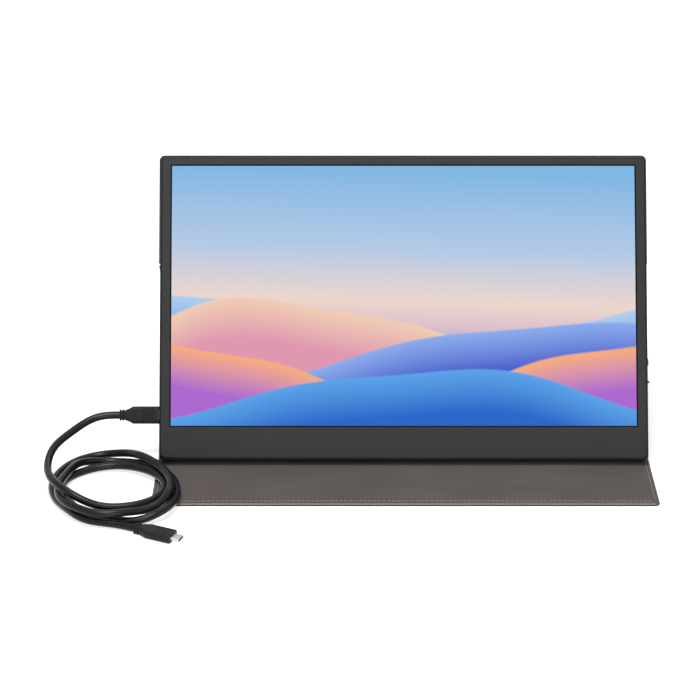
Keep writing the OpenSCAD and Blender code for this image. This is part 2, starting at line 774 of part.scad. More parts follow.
rocker_tip_r = 0.9;
module menu_rocker() {
    root_u = inner_u - 0.8;
    edge_u = side_u - 0.4;
    tip_u = side_u + rocker_proud - rocker_tip_r;
    color("#3c3c3e") on_monitor() difference() {
        slab(port_depth - key_t / 2, key_t) translate([0, rocker_v]) {
            translate([pivot_u, 0]) circle(hub_r);
            translate([pivot_u, -rocker_w / 4]) square([inner_u - pivot_u, rocker_w / 2]);
            polygon([[root_u, -rocker_w / 2], [edge_u, -rocker_w / 2], [tip_u, -rocker_tip_r],
                     [tip_u, rocker_tip_r], [edge_u, rocker_w / 2], [root_u, rocker_w / 2]]);
            translate([tip_u, 0]) circle(rocker_tip_r);
        }
        translate([pivot_u, port_depth + key_t, rocker_v]) rotate([90, 0, 0])
            cylinder(r = pivot_r + pivot_fit, h = 2 * key_t);
    }
}

// ================= the lead's plugs =================
grip_r = 2.4;
groove_count = 4;
groove_from = 4;
groove_pitch = 2.4;
groove_deep = 0.3;
shell_in = 3;
press_gap = 0.02;

// Grip with its shoulder: local z = 0 is the grip's face towards the socket
module grip_form() {
    difference() {
        linear_extrude(grip_len) translate([-grip_w / 2, -grip_t / 2]) rounded([grip_w, grip_t], grip_r);
        for (s = [-1, 1], i = [0:groove_count - 1])
            translate([-grip_w / 3, s * grip_t / 2 - groove_deep, groove_from + i * groove_pitch])
                cube([grip_w * 2 / 3, 2 * groove_deep, groove_pitch / 2]);
        translate([0, 0, -past]) linear_extrude(shell_in + past)
            stadium(shell_w + 2 * press_gap, shell_t + 2 * press_gap);
    }
    translate([0, 0, grip_len]) hull() {
        translate([-grip_w / 2, -grip_t / 2]) linear_extrude(eps) rounded([grip_w, grip_t], grip_r);
        translate([0, 0, shoulder_len - eps]) linear_extrude(eps) stadium(relief_w, grip_t);
    }
}

mouth_w = shell_w - 2 * shell_wall;
mouth_t = shell_t - 2 * shell_wall;
// Sheet metal shell, pressed into the grip, open at its mouth
module shell_form() {
    difference() {
        translate([0, 0, -shell_len]) linear_extrude(shell_len + shell_in) stadium(shell_w, shell_t);
        translate([0, 0, -shell_len - past]) linear_extrude(shell_len + shell_in + 2 * past)
            stadium(mouth_w, mouth_t);
    }
}

// Plastic core at the bottom of the shell
core_len = 1.2;
module core_form() linear_extrude(core_len) stadium(mouth_w - 2 * press_gap, mouth_t - 2 * press_gap);

module plug_grip() {
    color("#222224") at_port(0) translate([0, 0, plug_gap]) {
        grip_form();
        translate([0, 0, grip_len + shoulder_len - eps]) linear_extrude(relief_len + eps)
            stadium(relief_w, grip_t);
    }
}

module plug_shell() color("#c9c3b8") at_port(0) translate([0, 0, plug_gap]) shell_form();
module plug_core() color("#1c1c1e") at_port(0) translate([0, 0, plug_gap]) core_form();

relief_ribs = 3;
relief_rib_t = 1;
relief_deep = 0.6;
module free_relief() {
    color("#1d1d1f") at_free_plug() {
        linear_extrude(relief_len) stadium(relief_w - 2 * relief_deep, grip_t - 2 * relief_deep);
        for (i = [0:relief_ribs - 1])
            translate([0, 0, i * (relief_len - relief_rib_t) / (relief_ribs - 1)])
                linear_extrude(relief_rib_t) stadium(relief_w, grip_t);
    }
}

module at_free_grip() {
    at_free_plug() translate([0, 0, plug_len]) rotate([0, 180, 0]) children();
}

module free_grip() color("#222224") at_free_grip() grip_form();
module free_shell() color("#c9c3b8") at_free_grip() shell_form();
module free_core() color("#1c1c1e") at_free_grip() core_form();

// ================= the lead's cord =================
module cord_lead() color("#252527") cord_tube(0, coil_first, cord_steps, cord_sides);
module cord_coil() color("#252527") cord_tube(coil_first, coil_last, coil_steps, coil_sides);
module cord_tail() color("#252527") cord_tube(coil_last, cord_spans, cord_steps, cord_sides);

base_skin();
base_board();
base_lining();
base_magnets();
strut_skin();
strut_board();
spine_board();
strut_lining();
top_skin();
top_board();
top_lining();
top_magnets();
foot_fold();
upper_fold();
rear_housing();
front_bezel();
lcd_cell();
diffuser_films();
light_guide();
reflector_sheet();
led_strip();
panel_tray();
timing_board();
panel_ribbon();
signal_board();
board_screws();
display_socket();
power_socket();
socket_tongues();
video_socket();
headphone_jack();
speakers();
keeper_plates();
key_board();
key_switch();
rocker_pivot();
power_key();
menu_rocker();
plug_grip();
plug_shell();
plug_core();
cord_lead();
cord_coil();
cord_tail();
free_grip();
free_relief();
free_shell();
free_core();
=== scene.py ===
"""Portable monitor leaning on its folding cover, with its signal lead plugged in.

Metres, Z up, +Y to the back. z = 0 is the table, y = 0 is where the monitor's rear bottom edge sits
on the cover, x = 0 is the middle of the screen. Sizes are written in millimetres and scaled by MM."""
from collections import namedtuple
import json
import math

import bmesh
import bpy
from mathutils import Matrix, Vector


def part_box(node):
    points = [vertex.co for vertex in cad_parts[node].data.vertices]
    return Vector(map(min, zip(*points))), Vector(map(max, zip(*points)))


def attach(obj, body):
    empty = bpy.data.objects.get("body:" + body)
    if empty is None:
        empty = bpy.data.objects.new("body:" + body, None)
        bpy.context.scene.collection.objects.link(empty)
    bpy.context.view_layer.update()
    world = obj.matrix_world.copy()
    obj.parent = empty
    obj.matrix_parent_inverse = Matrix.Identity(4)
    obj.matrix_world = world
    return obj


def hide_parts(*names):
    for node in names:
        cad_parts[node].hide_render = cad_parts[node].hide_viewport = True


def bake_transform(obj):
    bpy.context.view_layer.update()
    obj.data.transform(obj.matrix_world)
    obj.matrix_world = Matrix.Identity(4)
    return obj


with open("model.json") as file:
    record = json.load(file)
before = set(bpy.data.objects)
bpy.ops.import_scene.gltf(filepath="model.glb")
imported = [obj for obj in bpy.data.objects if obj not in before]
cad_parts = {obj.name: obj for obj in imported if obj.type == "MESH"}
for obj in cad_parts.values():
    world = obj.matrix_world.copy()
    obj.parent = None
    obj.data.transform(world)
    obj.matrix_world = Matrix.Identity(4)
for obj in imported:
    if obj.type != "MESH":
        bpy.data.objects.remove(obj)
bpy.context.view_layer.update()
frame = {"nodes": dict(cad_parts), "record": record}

MM = 0.001
nodes = frame["nodes"]

# ---------------- sizes in millimetres, as the frame has them ----------------
LEAN = 28.8                       # lean of the screen from upright, in degrees
BODY_T, EDGE_R = 9.5, 2.2         # the monitor body's thickness and edge radius
COVER_T, AIR_GAP = 3.0, 0.3       # a cover panel's thickness, and the air between it and the monitor
FOLD_GAP = 0.4                    # gap on each side of a fold line
FOLD_V = 147.5                    # height of the fold across the monitor's back
PANEL_R = 4.0                     # corner radius of the cover's panels
BODY_H, COVER_OVER = 226.8, 2.8   # the body's height, and how far the cover stands over its top
CORD_D = 5.8
NEAR = 0.01                       # points within this distance of a plane count as lying on it
ROUND_NEAR = 0.05                 # the same for a round face, which a mesh only comes close to
FACING = 0.9                      # directions above this cosine count as lying along an axis

SIN, COS = math.sin(math.radians(LEAN)), math.cos(math.radians(LEAN))
STRUT_T = COVER_T - AIR_GAP
contact_w = BODY_T - EDGE_R
body_y = -(contact_w * COS + EDGE_R * SIN)
body_z = COVER_T + AIR_GAP + EDGE_R + contact_w * SIN - EDGE_R * COS


def on_body(w, v):
    """Depth w behind the face and height v up the face, as y and z."""
    return body_y + w * COS + v * SIN, body_z - w * SIN + v * COS


def box_mm(name):
    """A CAD node's lowest and highest corner in millimetres."""
    low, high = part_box(name)
    return Vector(low) / MM, Vector(high) / MM


side_u = box_mm("rear_housing")[1].x
cover_low, cover_high = box_mm("base_skin")
cover_w = cover_high.x - cover_low.x
foot_y = cover_high.y + FOLD_GAP
upper_y, upper_z = on_body(BODY_T + AIR_GAP + COVER_T, FOLD_V)
fold_reach = math.hypot(upper_y - foot_y, upper_z - COVER_T)
strut_len = math.sqrt(fold_reach ** 2 - STRUT_T ** 2)
strut_tilt = math.degrees(math.atan2(upper_z - COVER_T, upper_y - foot_y)
                          - math.acos(STRUT_T / fold_reach))


def turned(degrees, y, z):
    """The frame that is turned about X by degrees and has its origin at y, z, in metres."""
    return Matrix.Translation((0, y * MM, z * MM)) @ Matrix.Rotation(math.radians(degrees), 4, "X")


MONITOR = turned(-LEAN, body_y, body_z)
STRUT = turned(strut_tilt, foot_y, COVER_T)


# ---------------- camera ----------------
SENSOR_W, LENS = 36, 113.14       # millimetres
CAMERA_PLACE = (-0.03966, -1.44826, 0.75495)
CAMERA_PITCH = 65.47              # degrees up from straight down


def add_camera():
    """The photograph's view: a long lens, level from side to side, looking down at the screen."""
    data = bpy.data.cameras.new("camera")
    data.sensor_width, data.lens = SENSOR_W, LENS
    camera = bpy.data.objects.new("camera", data)
    camera.location = CAMERA_PLACE
    camera.rotation_euler = (math.radians(CAMERA_PITCH), 0, 0)
    bpy.context.collection.objects.link(camera)
    bpy.context.scene.camera = camera


add_camera()


# ---------------- the lead's cord ----------------
# The control points of the cord's curve, from the body's left side
CORD_LAY = ((-64.8, -1.3, 27.5), (-76.9, -17.7, 24.4), (-78.6, -38.6, 17.2),
            (-72.2, -58.5, 18.6), (-57.9, -74.7, 16.8), (-39, -78.3, 7.5), (-19.3, -76.5, 6.1),
            (0.4, -69.4, 7), (10.6, -49.9, 6.4), (4, -29.8, 6.8), (-10.5, -16.2, 6.2),
            (-28.8, -6.8, 4.4), (-48.4, -11.1, 4), (-66, -23.2, 2.5), (-69.4, -44.2, 4),
            (-60.4, -62.1, 3.3), (-48.6, -78.7, 2.9), (-30.8, -86.3, 3.4), (-10.9, -93.5, 2.5),
            (8.4, -87, 8), (17.5, -68.5, 7.2), (17.1, -47.5, 7.8), (10.5, -27.9, 6.9),
            (-3.9, -12.6, 7.4), (-21, -1.8, 3.8), (-41.6, 1.2, 2.8), (-59.2, -10.4, 9),
            (-63.4, -31.5, 11.3), (-69.4, -50.6, 10.5), (-66.2, -71.8, 10.8),
            (-52.5, -87.2, 12.1), (-33.9, -96.6, 10.6), (-14.3, -90.6, 11), (3.2, -79.3, 5.4),
            (14.4, -62, 13.6), (11.6, -42.1, 12.6), (3, -24, 12.7), (-11.8, -10.4, 14.1),
            (-23.8, 5.4, 8.1), (-44.6, 9.9, 4.3), (-62.7, -0.9, 4.7), (-73.1, -18.7, 3.6),
            (-75.7, -38.9, 5), (-71, -58.9, 3.3), (-59.6, -75.8, 5.1), (-46.2, -93.3, 4.6))
CORD_PULL = 18.7                  # how far the curve is led straight out of each plug
CORD_STEPS = 6                    # points along each span between two control points
CORD_ROUND = 5                    # how finely the cord's round section is divided
FREE_TURN = -24.5                 # the way the free plug points, in degrees from +X
FREE_END = (-8.4, -101.5, 3.4)    # where the cord enters the free plug, from the body's left side


def cord_path():
    """The whole cord's centreline in metres, from the mated plug through the coil to the free plug."""
    low, high = box_mm("plug_grip")
    start = Vector((low.x, (low.y + high.y) / 2, (low.z + high.z) / 2))
    side = Vector((-side_u, 0, 0))
    end = side + Vector(FREE_END)
    free_dir = Vector((math.cos(math.radians(FREE_TURN)), math.sin(math.radians(FREE_TURN)), 0))
    lay = [start, start - Vector((CORD_PULL, 0, 0)), *(side + Vector(p) for p in CORD_LAY),
           end - free_dir * CORD_PULL, end]
    lay = [2 * lay[0] - lay[1], *lay, 2 * lay[-1] - lay[-2]]
    path = []
    for a, b, c, d in zip(lay, lay[1:], lay[2:], lay[3:]):
        for t in (k / CORD_STEPS for k in range(CORD_STEPS)):
            path.append(((1 - t) ** 3 * a + (3 * t ** 3 - 6 * t * t + 4) * b
                         + (3 * (t + t * t - t ** 3) + 1) * c + t ** 3 * d) / 6)
    return [p * MM for p in (*path, end)]


def add_cord():
    """One round jacketed cord: an open spline whose points carry its radius, closed at its ends."""
    path = cord_path()
    curve = bpy.data.curves.new("lead_cord", "CURVE")
    curve.dimensions = "3D"
    curve.bevel_depth = 1
    curve.bevel_resolution = CORD_ROUND
    curve.use_fill_caps = True
    spline = curve.splines.new("POLY")
    spline.points.add(len(path) - 1)
    for point, place in zip(spline.points, path):
        point.co, point.radius = (*place, 1), CORD_D / 2 * MM
    spline.use_smooth = True
    cord = bpy.data.objects.new("lead_cord", curve)
    bpy.context.collection.objects.link(cord)
    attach(cord, "lead")
    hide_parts("cord_lead", "cord_coil", "cord_tail")
    length = sum((b - a).length for a, b in zip(path, path[1:]))
    return cord, tuple(path[0]), round(length, 3)


cord, cord_exit, cord_length = add_cord()


# ---------------- materials ----------------
def linear(colour):
    """An sRGB hex colour as linear RGBA."""
    parts = [int(colour[i:i + 2], 16) / 255 for i in (1, 3, 5)]
    return [c / 12.92 if c <= 0.04045 else ((c + 0.055) / 1.055) ** 2.4 for c in parts] + [1]


def feed(tree, made, inputs):
    """Sets a node's sockets, each from a value, a socket or another node's first output."""
    for name, value in inputs.items():
        if isinstance(name, str):
            name = next(i for i, s in enumerate(made.inputs) if s.name == name and s.enabled)
        if isinstance(value, bpy.types.Node):
            value = next(s for s in value.outputs if s.enabled)
        if isinstance(value, bpy.types.NodeSocket):
            tree.links.new(value, made.inputs[name])
        else:
            made.inputs[name].default_value = value


def add(tree, kind, inputs=None, stops=(), **settings):
    """Adds a shader node with its settings, what feeds its sockets, and a colour ramp's stops."""
    made = tree.nodes.new("ShaderNode" + kind)
    for name, value in settings.items():
        setattr(made, name, value)
    for i, (place, colour) in enumerate(stops):
        ramp = made.color_ramp.elements
        stop = ramp[i] if i < 2 else ramp.new(place)
        stop.position, stop.color = place, linear(colour)
    feed(tree, made, inputs or {})
    return made


def surface(name, **constants):
    """A new material: its node tree and its shader, with the shader's constants set."""
    material = bpy.data.materials.new(name)
    material.use_nodes = True
    tree = material.node_tree
    tree.nodes.clear()
    sockets = {key.replace("_", " "): value for key, value in constants.items()}
    shader = add(tree, "BsdfPrincipled", sockets)
    add(tree, "OutputMaterial", {"Surface": shader})
    return material, tree, shader


def textured(name, **constants):
    """A new material: its node tree, its shader, and the place on the object for its textures."""
    material, tree, shader = surface(name, **constants)
    return material, tree, shader, add(tree, "TexCoord").outputs["Object"]


def per_mm(size):
    """A texture scale that repeats once in this many millimetres."""
    return 1 / (size * MM)


def noise(tree, place, size, detail, rough=0.5):
    """Noise whose grains are this many millimetres wide."""
    return add(tree, "TexNoise", {"Vector": place, "Scale": per_mm(size), "Detail": detail,
                                  "Roughness": rough})


def bumps(tree, height, strength, depth):
    """Bumps of this depth in millimetres."""
    return add(tree, "Bump", {"Height": height, "Strength": strength, "Distance": depth * MM})


def moulded(name, low, high, grain, depth, rough, **constants):
    """Plastic from a spark-eroded mould: a fine even grain, slightly uneven in tone and gloss."""
    material, tree, shader, place = textured(name, **constants)
    pits = noise(tree, place, grain, 3.0, 0.6)
    cloud = noise(tree, place, 38, 2.0)
    tone = add(tree, "Mix", {"Factor": 0.35, "A": pits, "B": cloud})
    colour = add(tree, "ValToRGB", {"Fac": tone}, stops=((0.32, low), (0.68, high)))
    gloss = add(tree, "MapRange", {"Value": cloud, "From Min": 0.3, "From Max": 0.7,
                                   "To Min": rough - 0.04, "To Max": rough + 0.04})
    bump = bumps(tree, pits, 0.35, depth)
    feed(tree, shader, {"Base Color": colour, "Roughness": gloss, "Normal": bump})
    return material


def drawn_metal(name, low, high, rough, stretch, **constants):
    """Metal that was rolled, drawn or turned: fine lines one way, brighter and duller streaks."""
    material, tree, shader, place = textured(name, Metallic=1.0, **constants)
    run = add(tree, "Mapping", {"Vector": place, "Scale": stretch})
    lines = noise(tree, run, 0.5, 4.0)
    colour = add(tree, "ValToRGB", {"Fac": lines}, stops=((0.3, low), (0.7, high)))
    gloss = add(tree, "MapRange", {"Value": lines, "From Min": 0.3, "From Max": 0.7,
                                   "To Min": rough - 0.06, "To Max": rough + 0.08})
    bump = bumps(tree, lines, 0.15, 0.01)
    feed(tree, shader, {"Base Color": colour, "Roughness": gloss, "Normal": bump})
    return material


def embossed_leather():
    """Polyurethane leather, embossed: pebbles under a millimetre, shiny tops and dull creases."""
    material, tree, shader, place = textured("embossed_pu_leather", Specular_IOR_Level=0.14)
    wander = noise(tree, place, 2.4, 2.0)
    warped = add(tree, "Mix", {"Factor": 0.0011, "A": place, "B": wander.outputs["Color"]},
                 data_type="VECTOR")
    pebbles = add(tree, "TexVoronoi", {"Vector": warped, "Scale": per_mm(0.85)},
                  feature="DISTANCE_TO_EDGE")
    height = add(tree, "MapRange", {"Value": pebbles, "From Max": 0.16})
    fine = noise(tree, place, 0.3, 3.0)
    relief = add(tree, "Mix", {"Factor": 0.2, "A": height, "B": fine})
    rubbed = noise(tree, place, 55, 3.0)
    tops = add(tree, "Mix", {"Factor": 0.3, "A": height, "B": rubbed})
    colour = add(tree, "ValToRGB", {"Fac": tops}, stops=((0.1, "#151415"), (0.8, "#2a292a")))
    gloss = add(tree, "MapRange", {"Value": tops, "To Min": 0.74, "To Max": 0.5})
    bump = bumps(tree, relief, 0.5, 0.08)
    feed(tree, shader, {"Base Color": colour, "Roughness": gloss, "Normal": bump})
    return material


def brushed_microfibre():
    """Microfibre suede, brushed: a dull short nap that lies lighter and darker in soft patches."""
    material, tree, shader, place = textured("brushed_microfibre", Specular_IOR_Level=0.12,
                                             Sheen_Weight=0.1, Sheen_Roughness=0.6, Roughness=0.95)
    fibres = noise(tree, place, 0.42, 5.0, 0.7)
    combed = add(tree, "Mapping", {"Vector": place, "Scale": (0.35, 1.0, 1.0)})
    patches = noise(tree, combed, 26, 4.0)
    nap = add(tree, "Mix", {"Factor": 0.45, "A": fibres, "B": patches})
    colour = add(tree, "ValToRGB", {"Fac": nap},
                 stops=((0.3, "#4b4441"), (0.7, "#665e59"), (0.5, "#58514d")))
    bump = bumps(tree, fibres, 0.5, 0.1)
    feed(tree, shader, {"Base Color": colour, "Normal": bump})
    return material


def spun_thread():
    """Spun polyester thread: twisted strands, dull, with a soft sheen."""
    material, tree, shader, place = textured("spun_polyester_thread", Specular_IOR_Level=0.2,
                                             Sheen_Weight=0.15, Roughness=0.8)
    twist = add(tree, "Mapping", {"Vector": place, "Rotation": (0.5, 0.6, 0.78)})
    strands = add(tree, "TexWave", {"Vector": twist, "Scale": per_mm(2.2), "Distortion": 1.5})
    colour = add(tree, "ValToRGB", {"Fac": strands}, stops=((0.1, "#6b635d"), (0.9, "#b3aba4")))
    bump = bumps(tree, strands, 0.4, 0.05)
    feed(tree, shader, {"Base Color": colour, "Normal": bump})
    return material


def extruded_jacket():
    """Soft PVC jacket, extruded: satin, slightly uneven in tone and gloss."""
    material, tree, shader, place = textured("extruded_pvc_jacket", Specular_IOR_Level=0.22)
    skin = noise(tree, place, 0.7, 3.0)
    cloud = noise(tree, place, 18, 2.0)
    tone = add(tree, "Mix", {"Factor": 0.5, "A": skin, "B": cloud})
    colour = add(tree, "ValToRGB", {"Fac": tone}, stops=((0.35, "#0b0b0c"), (0.7, "#151516")))
    gloss = add(tree, "MapRange", {"Value": tone, "From Min": 0.35, "From Max": 0.65,
                                   "To Min": 0.24, "To Max": 0.32})
    bump = bumps(tree, skin, 0.2, 0.03)
    feed(tree, shader, {"Base Color": colour, "Roughness": gloss, "Normal": bump})
    return material


def board_resist():
    """Glass-epoxy board under green solder resist: glossy, with the darker lines of tracks below."""
    material, tree, shader, place = textured("green_solder_resist", Specular_IOR_Level=0.5,
                                             Roughness=0.28)
    tracks = add(tree, "TexBrick", {"Vector": place, "Scale": per_mm(9), "Color1": linear("#1d5a38"),
                                    "Color2": linear("#24683f"), "Mortar": linear("#12462a"),
                                    "Mortar Size": 0.035})
    bump = bumps(tree, tracks, 0.3, 0.035)
    feed(tree, shader, {"Base Color": tracks, "Normal": bump})
    return material


def bare_plastic_film(name, low, high, rough, size, **constants):
    """Film, glass, or a lighter band painted along a sheet's edge as a highlight: even in colour, with
    a faint cloud.
    """
    material, tree, shader, place = textured(name, Roughness=rough, **constants)
    cloud = noise(tree, place, size, 3.0)
    colour = add(tree, "ValToRGB", {"Fac": cloud}, stops=((0.3, low), (0.7, high)))
    feed(tree, shader, {"Base Color": colour})
    return material


def led_row():
    """White light-emitting diodes in yellow phosphor, a square every few millimetres along a strip."""
    material, tree, shader, place = textured("phosphor_led_strip", Roughness=0.4)
    squares = add(tree, "TexBrick", {"Vector": place, "Scale": per_mm(7), "Color1": linear("#f0d468"),
                                     "Color2": linear("#f4dc7c"), "Mortar": linear("#f7f5ee"),
                                     "Mortar Size": 0.12})
    feed(tree, shader, {"Base Color": squares})
    return material


def pressed_board():
    """Grey board pressed from waste paper: dull, with darker flecks of fibre."""
    material, tree, shader, place = textured("pressed_greyboard", Roughness=0.9,
                                             Specular_IOR_Level=0.15)
    flecks = noise(tree, place, 1.4, 6.0, 0.75)
    colour = add(tree, "ValToRGB", {"Fac": flecks}, stops=((0.35, "#5b544c"), (0.6, "#82796e")))
    bump = bumps(tree, flecks, 0.3, 0.05)
    feed(tree, shader, {"Base Color": colour, "Normal": bump})
    return material


SHEET_LINES = (0.05, 1.0, 1.0)    # long streaks along X, as rolled sheet has
TUBE_LINES = (1.0, 0.1, 0.1)      # rings round X, as turned and drawn shells have
FINISHES = {
    "cover_leather": embossed_leather(),
    "cover_lining": brushed_microfibre(),
    "stiffener_board": pressed_board(),
    "magnet": drawn_metal("nickel_plated_magnet", "#8e8f90", "#b9babb", 0.28, (1, 1, 1)),
    "bezel_plastic": moulded("spark_eroded_abs_bezel", "#2f2f30", "#39393a", 0.5, 0.05, 0.56,
                             Specular_IOR_Level=0.12),
    "housing_plastic": moulded("spark_eroded_abs_housing", "#1e1e1f", "#28282a", 0.6, 0.06, 0.6,
                               Specular_IOR_Level=0.14),
    "screen_glass": bare_plastic_film("etched_panel_glass", "#07080a", "#0a0b0e", 0.3, 60,
                                      Specular_IOR_Level=0.06),
    "diffuser_film": bare_plastic_film("opal_pet_film", "#efefeb", "#f7f7f4", 0.6, 40),
    "light_guide": bare_plastic_film("cast_pmma_guide", "#dbe6e8", "#e6f0f1", 0.12, 30),
    "reflector_film": bare_plastic_film("white_pet_reflector", "#f4f4f1", "#fbfbf9", 0.5, 50),
    "led_strip": led_row(),
    "panel_tray": drawn_metal("rolled_aluminium_tray", "#a9acad", "#c3c5c6", 0.34, SHEET_LINES),
    "circuit_board": board_resist(),
    "ribbon": bare_plastic_film("polyimide_ribbon", "#a8641f", "#c17b2c", 0.35, 3),
    "screw_steel": drawn_metal("zinc_plated_screw", "#83868a", "#a6a9ab", 0.32, (1, 1, 1)),
    "socket_metal": drawn_metal("stamped_steel_shell", "#9b9d9e", "#bcbdbe", 0.3, TUBE_LINES),
    "socket_plastic": moulded("glass_filled_lcp_insert", "#141415", "#1d1d1e", 0.35, 0.03, 0.5,
                              Specular_IOR_Level=0.15),
    "speaker_plastic": moulded("moulded_abs_speaker_box", "#1b1b1c", "#262627", 0.5, 0.04, 0.6,
                               Specular_IOR_Level=0.15),
    "keeper_steel": drawn_metal("tin_plated_keeper", "#87898b", "#a3a5a6", 0.36, SHEET_LINES),
    "switch_plastic": moulded("moulded_nylon_switch", "#cbc8bf", "#dcd9d0", 0.5, 0.03, 0.5),
    "key_plastic": moulded("polished_abs_key", "#1f1f20", "#29292a", 0.4, 0.02, 0.34,
                           Specular_IOR_Level=0.2),
    "plug_plastic": moulded("overmoulded_tpe_grip", "#19191a", "#232324", 0.45, 0.05, 0.5,
                            Specular_IOR_Level=0.16),
    "plug_nickel": drawn_metal("nickel_plated_plug_shell", "#cbc2b6", "#dad2c7", 0.36, TUBE_LINES),
    "cord_jacket": extruded_jacket(),
}
THREAD = spun_thread()
# The frame's rounded rim: the face's plastic painted darker as painted shade, with a satin gloss.
SATIN_RIM_PAINTED_SHADE = moulded("satin_abs_rim_painted_shade", "#141415", "#1b1b1c", 0.4, 0.02, 0.36, Specular_IOR_Level=0.16)
# A lighter band along the front lining's rolled edge: a painted highlight, where that edge catches the
# light.
PAINTED_EDGE_HIGHLIGHT = bare_plastic_film("microfibre_edge_painted_highlight", "#79706b", "#958c85", 0.9, 0.6,
                             Specular_IOR_Level=0.1)


def dress(obj, slot, body=None, material=None, replaced=()):
    """Gives a finished piece the material of its slot, or the material given, and its body, and hides
    the CAD nodes it stands for.
    """
    obj.data.materials.clear()
    obj.data.materials.append(material or FINISHES[slot])
    if replaced:
        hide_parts(*replaced)
    if body:
        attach(obj, body)
    return obj


def paint_cad_nodes():
    """Every CAD node takes the finish that the record gives it."""
    for part in frame["record"]["subparts"]:
        mesh = nodes[part["node"]].data
        mesh.materials.clear()
        mesh.materials.append(FINISHES[part["material_slot"]])


paint_cad_nodes()
cord.data.materials.append(FINISHES["cord_jacket"])


# ---------------- the picture on the screen ----------------
# The sky's colours from its foot up. A new ramp has two stops, so both ends come first
SKY = ((0.0, "#2f74c6"), (1.0, "#84bcea"), (0.3, "#6aa6e2"), (0.41, "#e3c6cf"), (0.5, "#f2dcd2"),
       (0.7, "#b9cfec"))
# Soft layered waves, from the back one to the front one: middle height, its swing, waves across the
# picture, where they start, the colour at the crest and the colour in the depth
WAVES = (
    (0.44, 0.10, 0.62, 0.35, "#b4d3f6", "#6ea9ea"),
    (0.36, 0.13, 0.85, 0.05, "#f8d3b8", "#e59bb4"),
    (0.30, 0.10, 0.75, 0.62, "#8fb0f4", "#3d55cf"),
    (0.21, 0.12, 0.95, 0.27, "#ffb27c", "#b06ad6"),
    (0.13, 0.09, 0.80, 0.80, "#5ba7ee", "#2467cf"),
)
WAVE_DEPTH = 0.16                 # how far below its crest a wave reaches its deep colour
CREST_SOFT = 0.004                # how soft a crest's edge is, as a share of the picture's height
SKY_SLOPE = 0.05                  # how much higher the sky's colours lie at the picture's left
RIPPLE_RATE, RIPPLE = 2.3, 0.22   # a wave's ripple: frequency and swing as shares of the wave's own


def lit_picture():
    """Liquid crystal panel, lit from behind: an even glow in smooth colours under etched glass."""
    material, tree, shader = surface("lit_panel_picture", Base_Color=linear("#050608"), Roughness=0.32,
                                     Specular_IOR_Level=0.05, Emission_Strength=0.93)
    across = add(tree, "SeparateXYZ", {"Vector": add(tree, "UVMap", uv_map="picture").outputs["UV"]})
    x, y = across.outputs["X"], across.outputs["Y"]
    slope = add(tree, "Math", {0: x, 1: SKY_SLOPE, 2: y}, operation="MULTIPLY_ADD")
    colour = add(tree, "ValToRGB", {"Fac": slope}, stops=SKY)
    for middle, swing, waves, start, crest, deep in WAVES:
        turn = add(tree, "Math", {0: x, 1: math.tau * waves, 2: math.tau * start},
                   operation="MULTIPLY_ADD")
        wave = add(tree, "Math", {0: turn}, operation="SINE")
        faster = add(tree, "Math", {0: turn, 1: RIPPLE_RATE}, operation="MULTIPLY")
        ripple = add(tree, "Math", {0: faster}, operation="SINE")
        bent = add(tree, "Math", {0: ripple, 1: RIPPLE, 2: wave}, operation="MULTIPLY_ADD")
        line = add(tree, "Math", {0: bent, 1: swing, 2: middle}, operation="MULTIPLY_ADD")
        below = add(tree, "Math", {0: line, 1: y}, operation="SUBTRACT")
        shade = add(tree, "MapRange", {"Value": below, "From Max": WAVE_DEPTH})
        body = add(tree, "ValToRGB", {"Fac": shade}, stops=((0.0, crest), (1.0, deep)))
        edge = add(tree, "MapRange", {"Value": below, "From Min": -CREST_SOFT, "From Max": CREST_SOFT})
        colour = add(tree, "Mix", {"Factor": edge, "A": colour, "B": body}, data_type="RGBA")
    feed(tree, shader, {"Emission Color": colour})
    return material


# ---------------- modelling helpers: places in millimetres ----------------
SMOOTH_DEG = 40                   # edges sharper than this stay sharp, or are rounded by soften
SOFT_SEGMENTS = 2                 # how finely a small edge is rounded


def begin_plane(name, width, depth):
    """A flat sheet with its low corner at the origin, left in edit mode."""
    bpy.ops.object.select_all(action="DESELECT")
    bpy.ops.mesh.primitive_plane_add(size=1, location=(width / 2 * MM, depth / 2 * MM, 0))
    return begun(name, (width, depth, 1))


def begin_box(name, low, high):
    """A block between two corners, left in edit mode."""
    low, high = Vector(low), Vector(high)
    bpy.ops.object.select_all(action="DESELECT")
    bpy.ops.mesh.primitive_cube_add(size=1, location=(low + high) / 2 * MM)
    return begun(name, high - low)


def begun(name, size):
    """Names the unit shape that was just added, gives it its size and enters edit mode."""
    obj = bpy.context.object
    obj.name = obj.data.name = name
    obj.scale = Vector(size) * MM
    bpy.ops.object.transform_apply(location=True, rotation=True, scale=True)
    bpy.ops.object.mode_set(mode="EDIT")
    return obj


def choose(obj, faces=None, edges=None, points=None):
    """Selects just the faces, edges or points that a test of their middle and direction picks."""
    bpy.ops.mesh.select_mode(type="FACE" if faces else "EDGE" if edges else "VERT")
    bpy.ops.mesh.select_all(action="DESELECT")
    mesh = bmesh.from_edit_mesh(obj.data)
    mesh.normal_update()
    for face in mesh.faces if faces else ():
        face.select_set(faces(face.calc_center_median() / MM, face.normal))
    for edge in mesh.edges if edges else ():
        a, b = (v.co / MM for v in edge.verts)
        edge.select_set(edges((a + b) / 2, (b - a).normalized()))
    for point in mesh.verts if points else ():
        point.select_set(points(point.co / MM, point.normal))
    mesh.select_flush_mode()
    bmesh.update_edit_mesh(obj.data)


def move(x=0, y=0, z=0):
    """Moves what is selected."""
    bpy.ops.transform.translate(value=(x * MM, y * MM, z * MM))


def widen(x=1, y=1, z=1, about=(0, 0, 0)):
    """Scales what is selected about a point."""
    bpy.ops.transform.resize(value=(x, y, z), center_override=Vector(about) * MM)


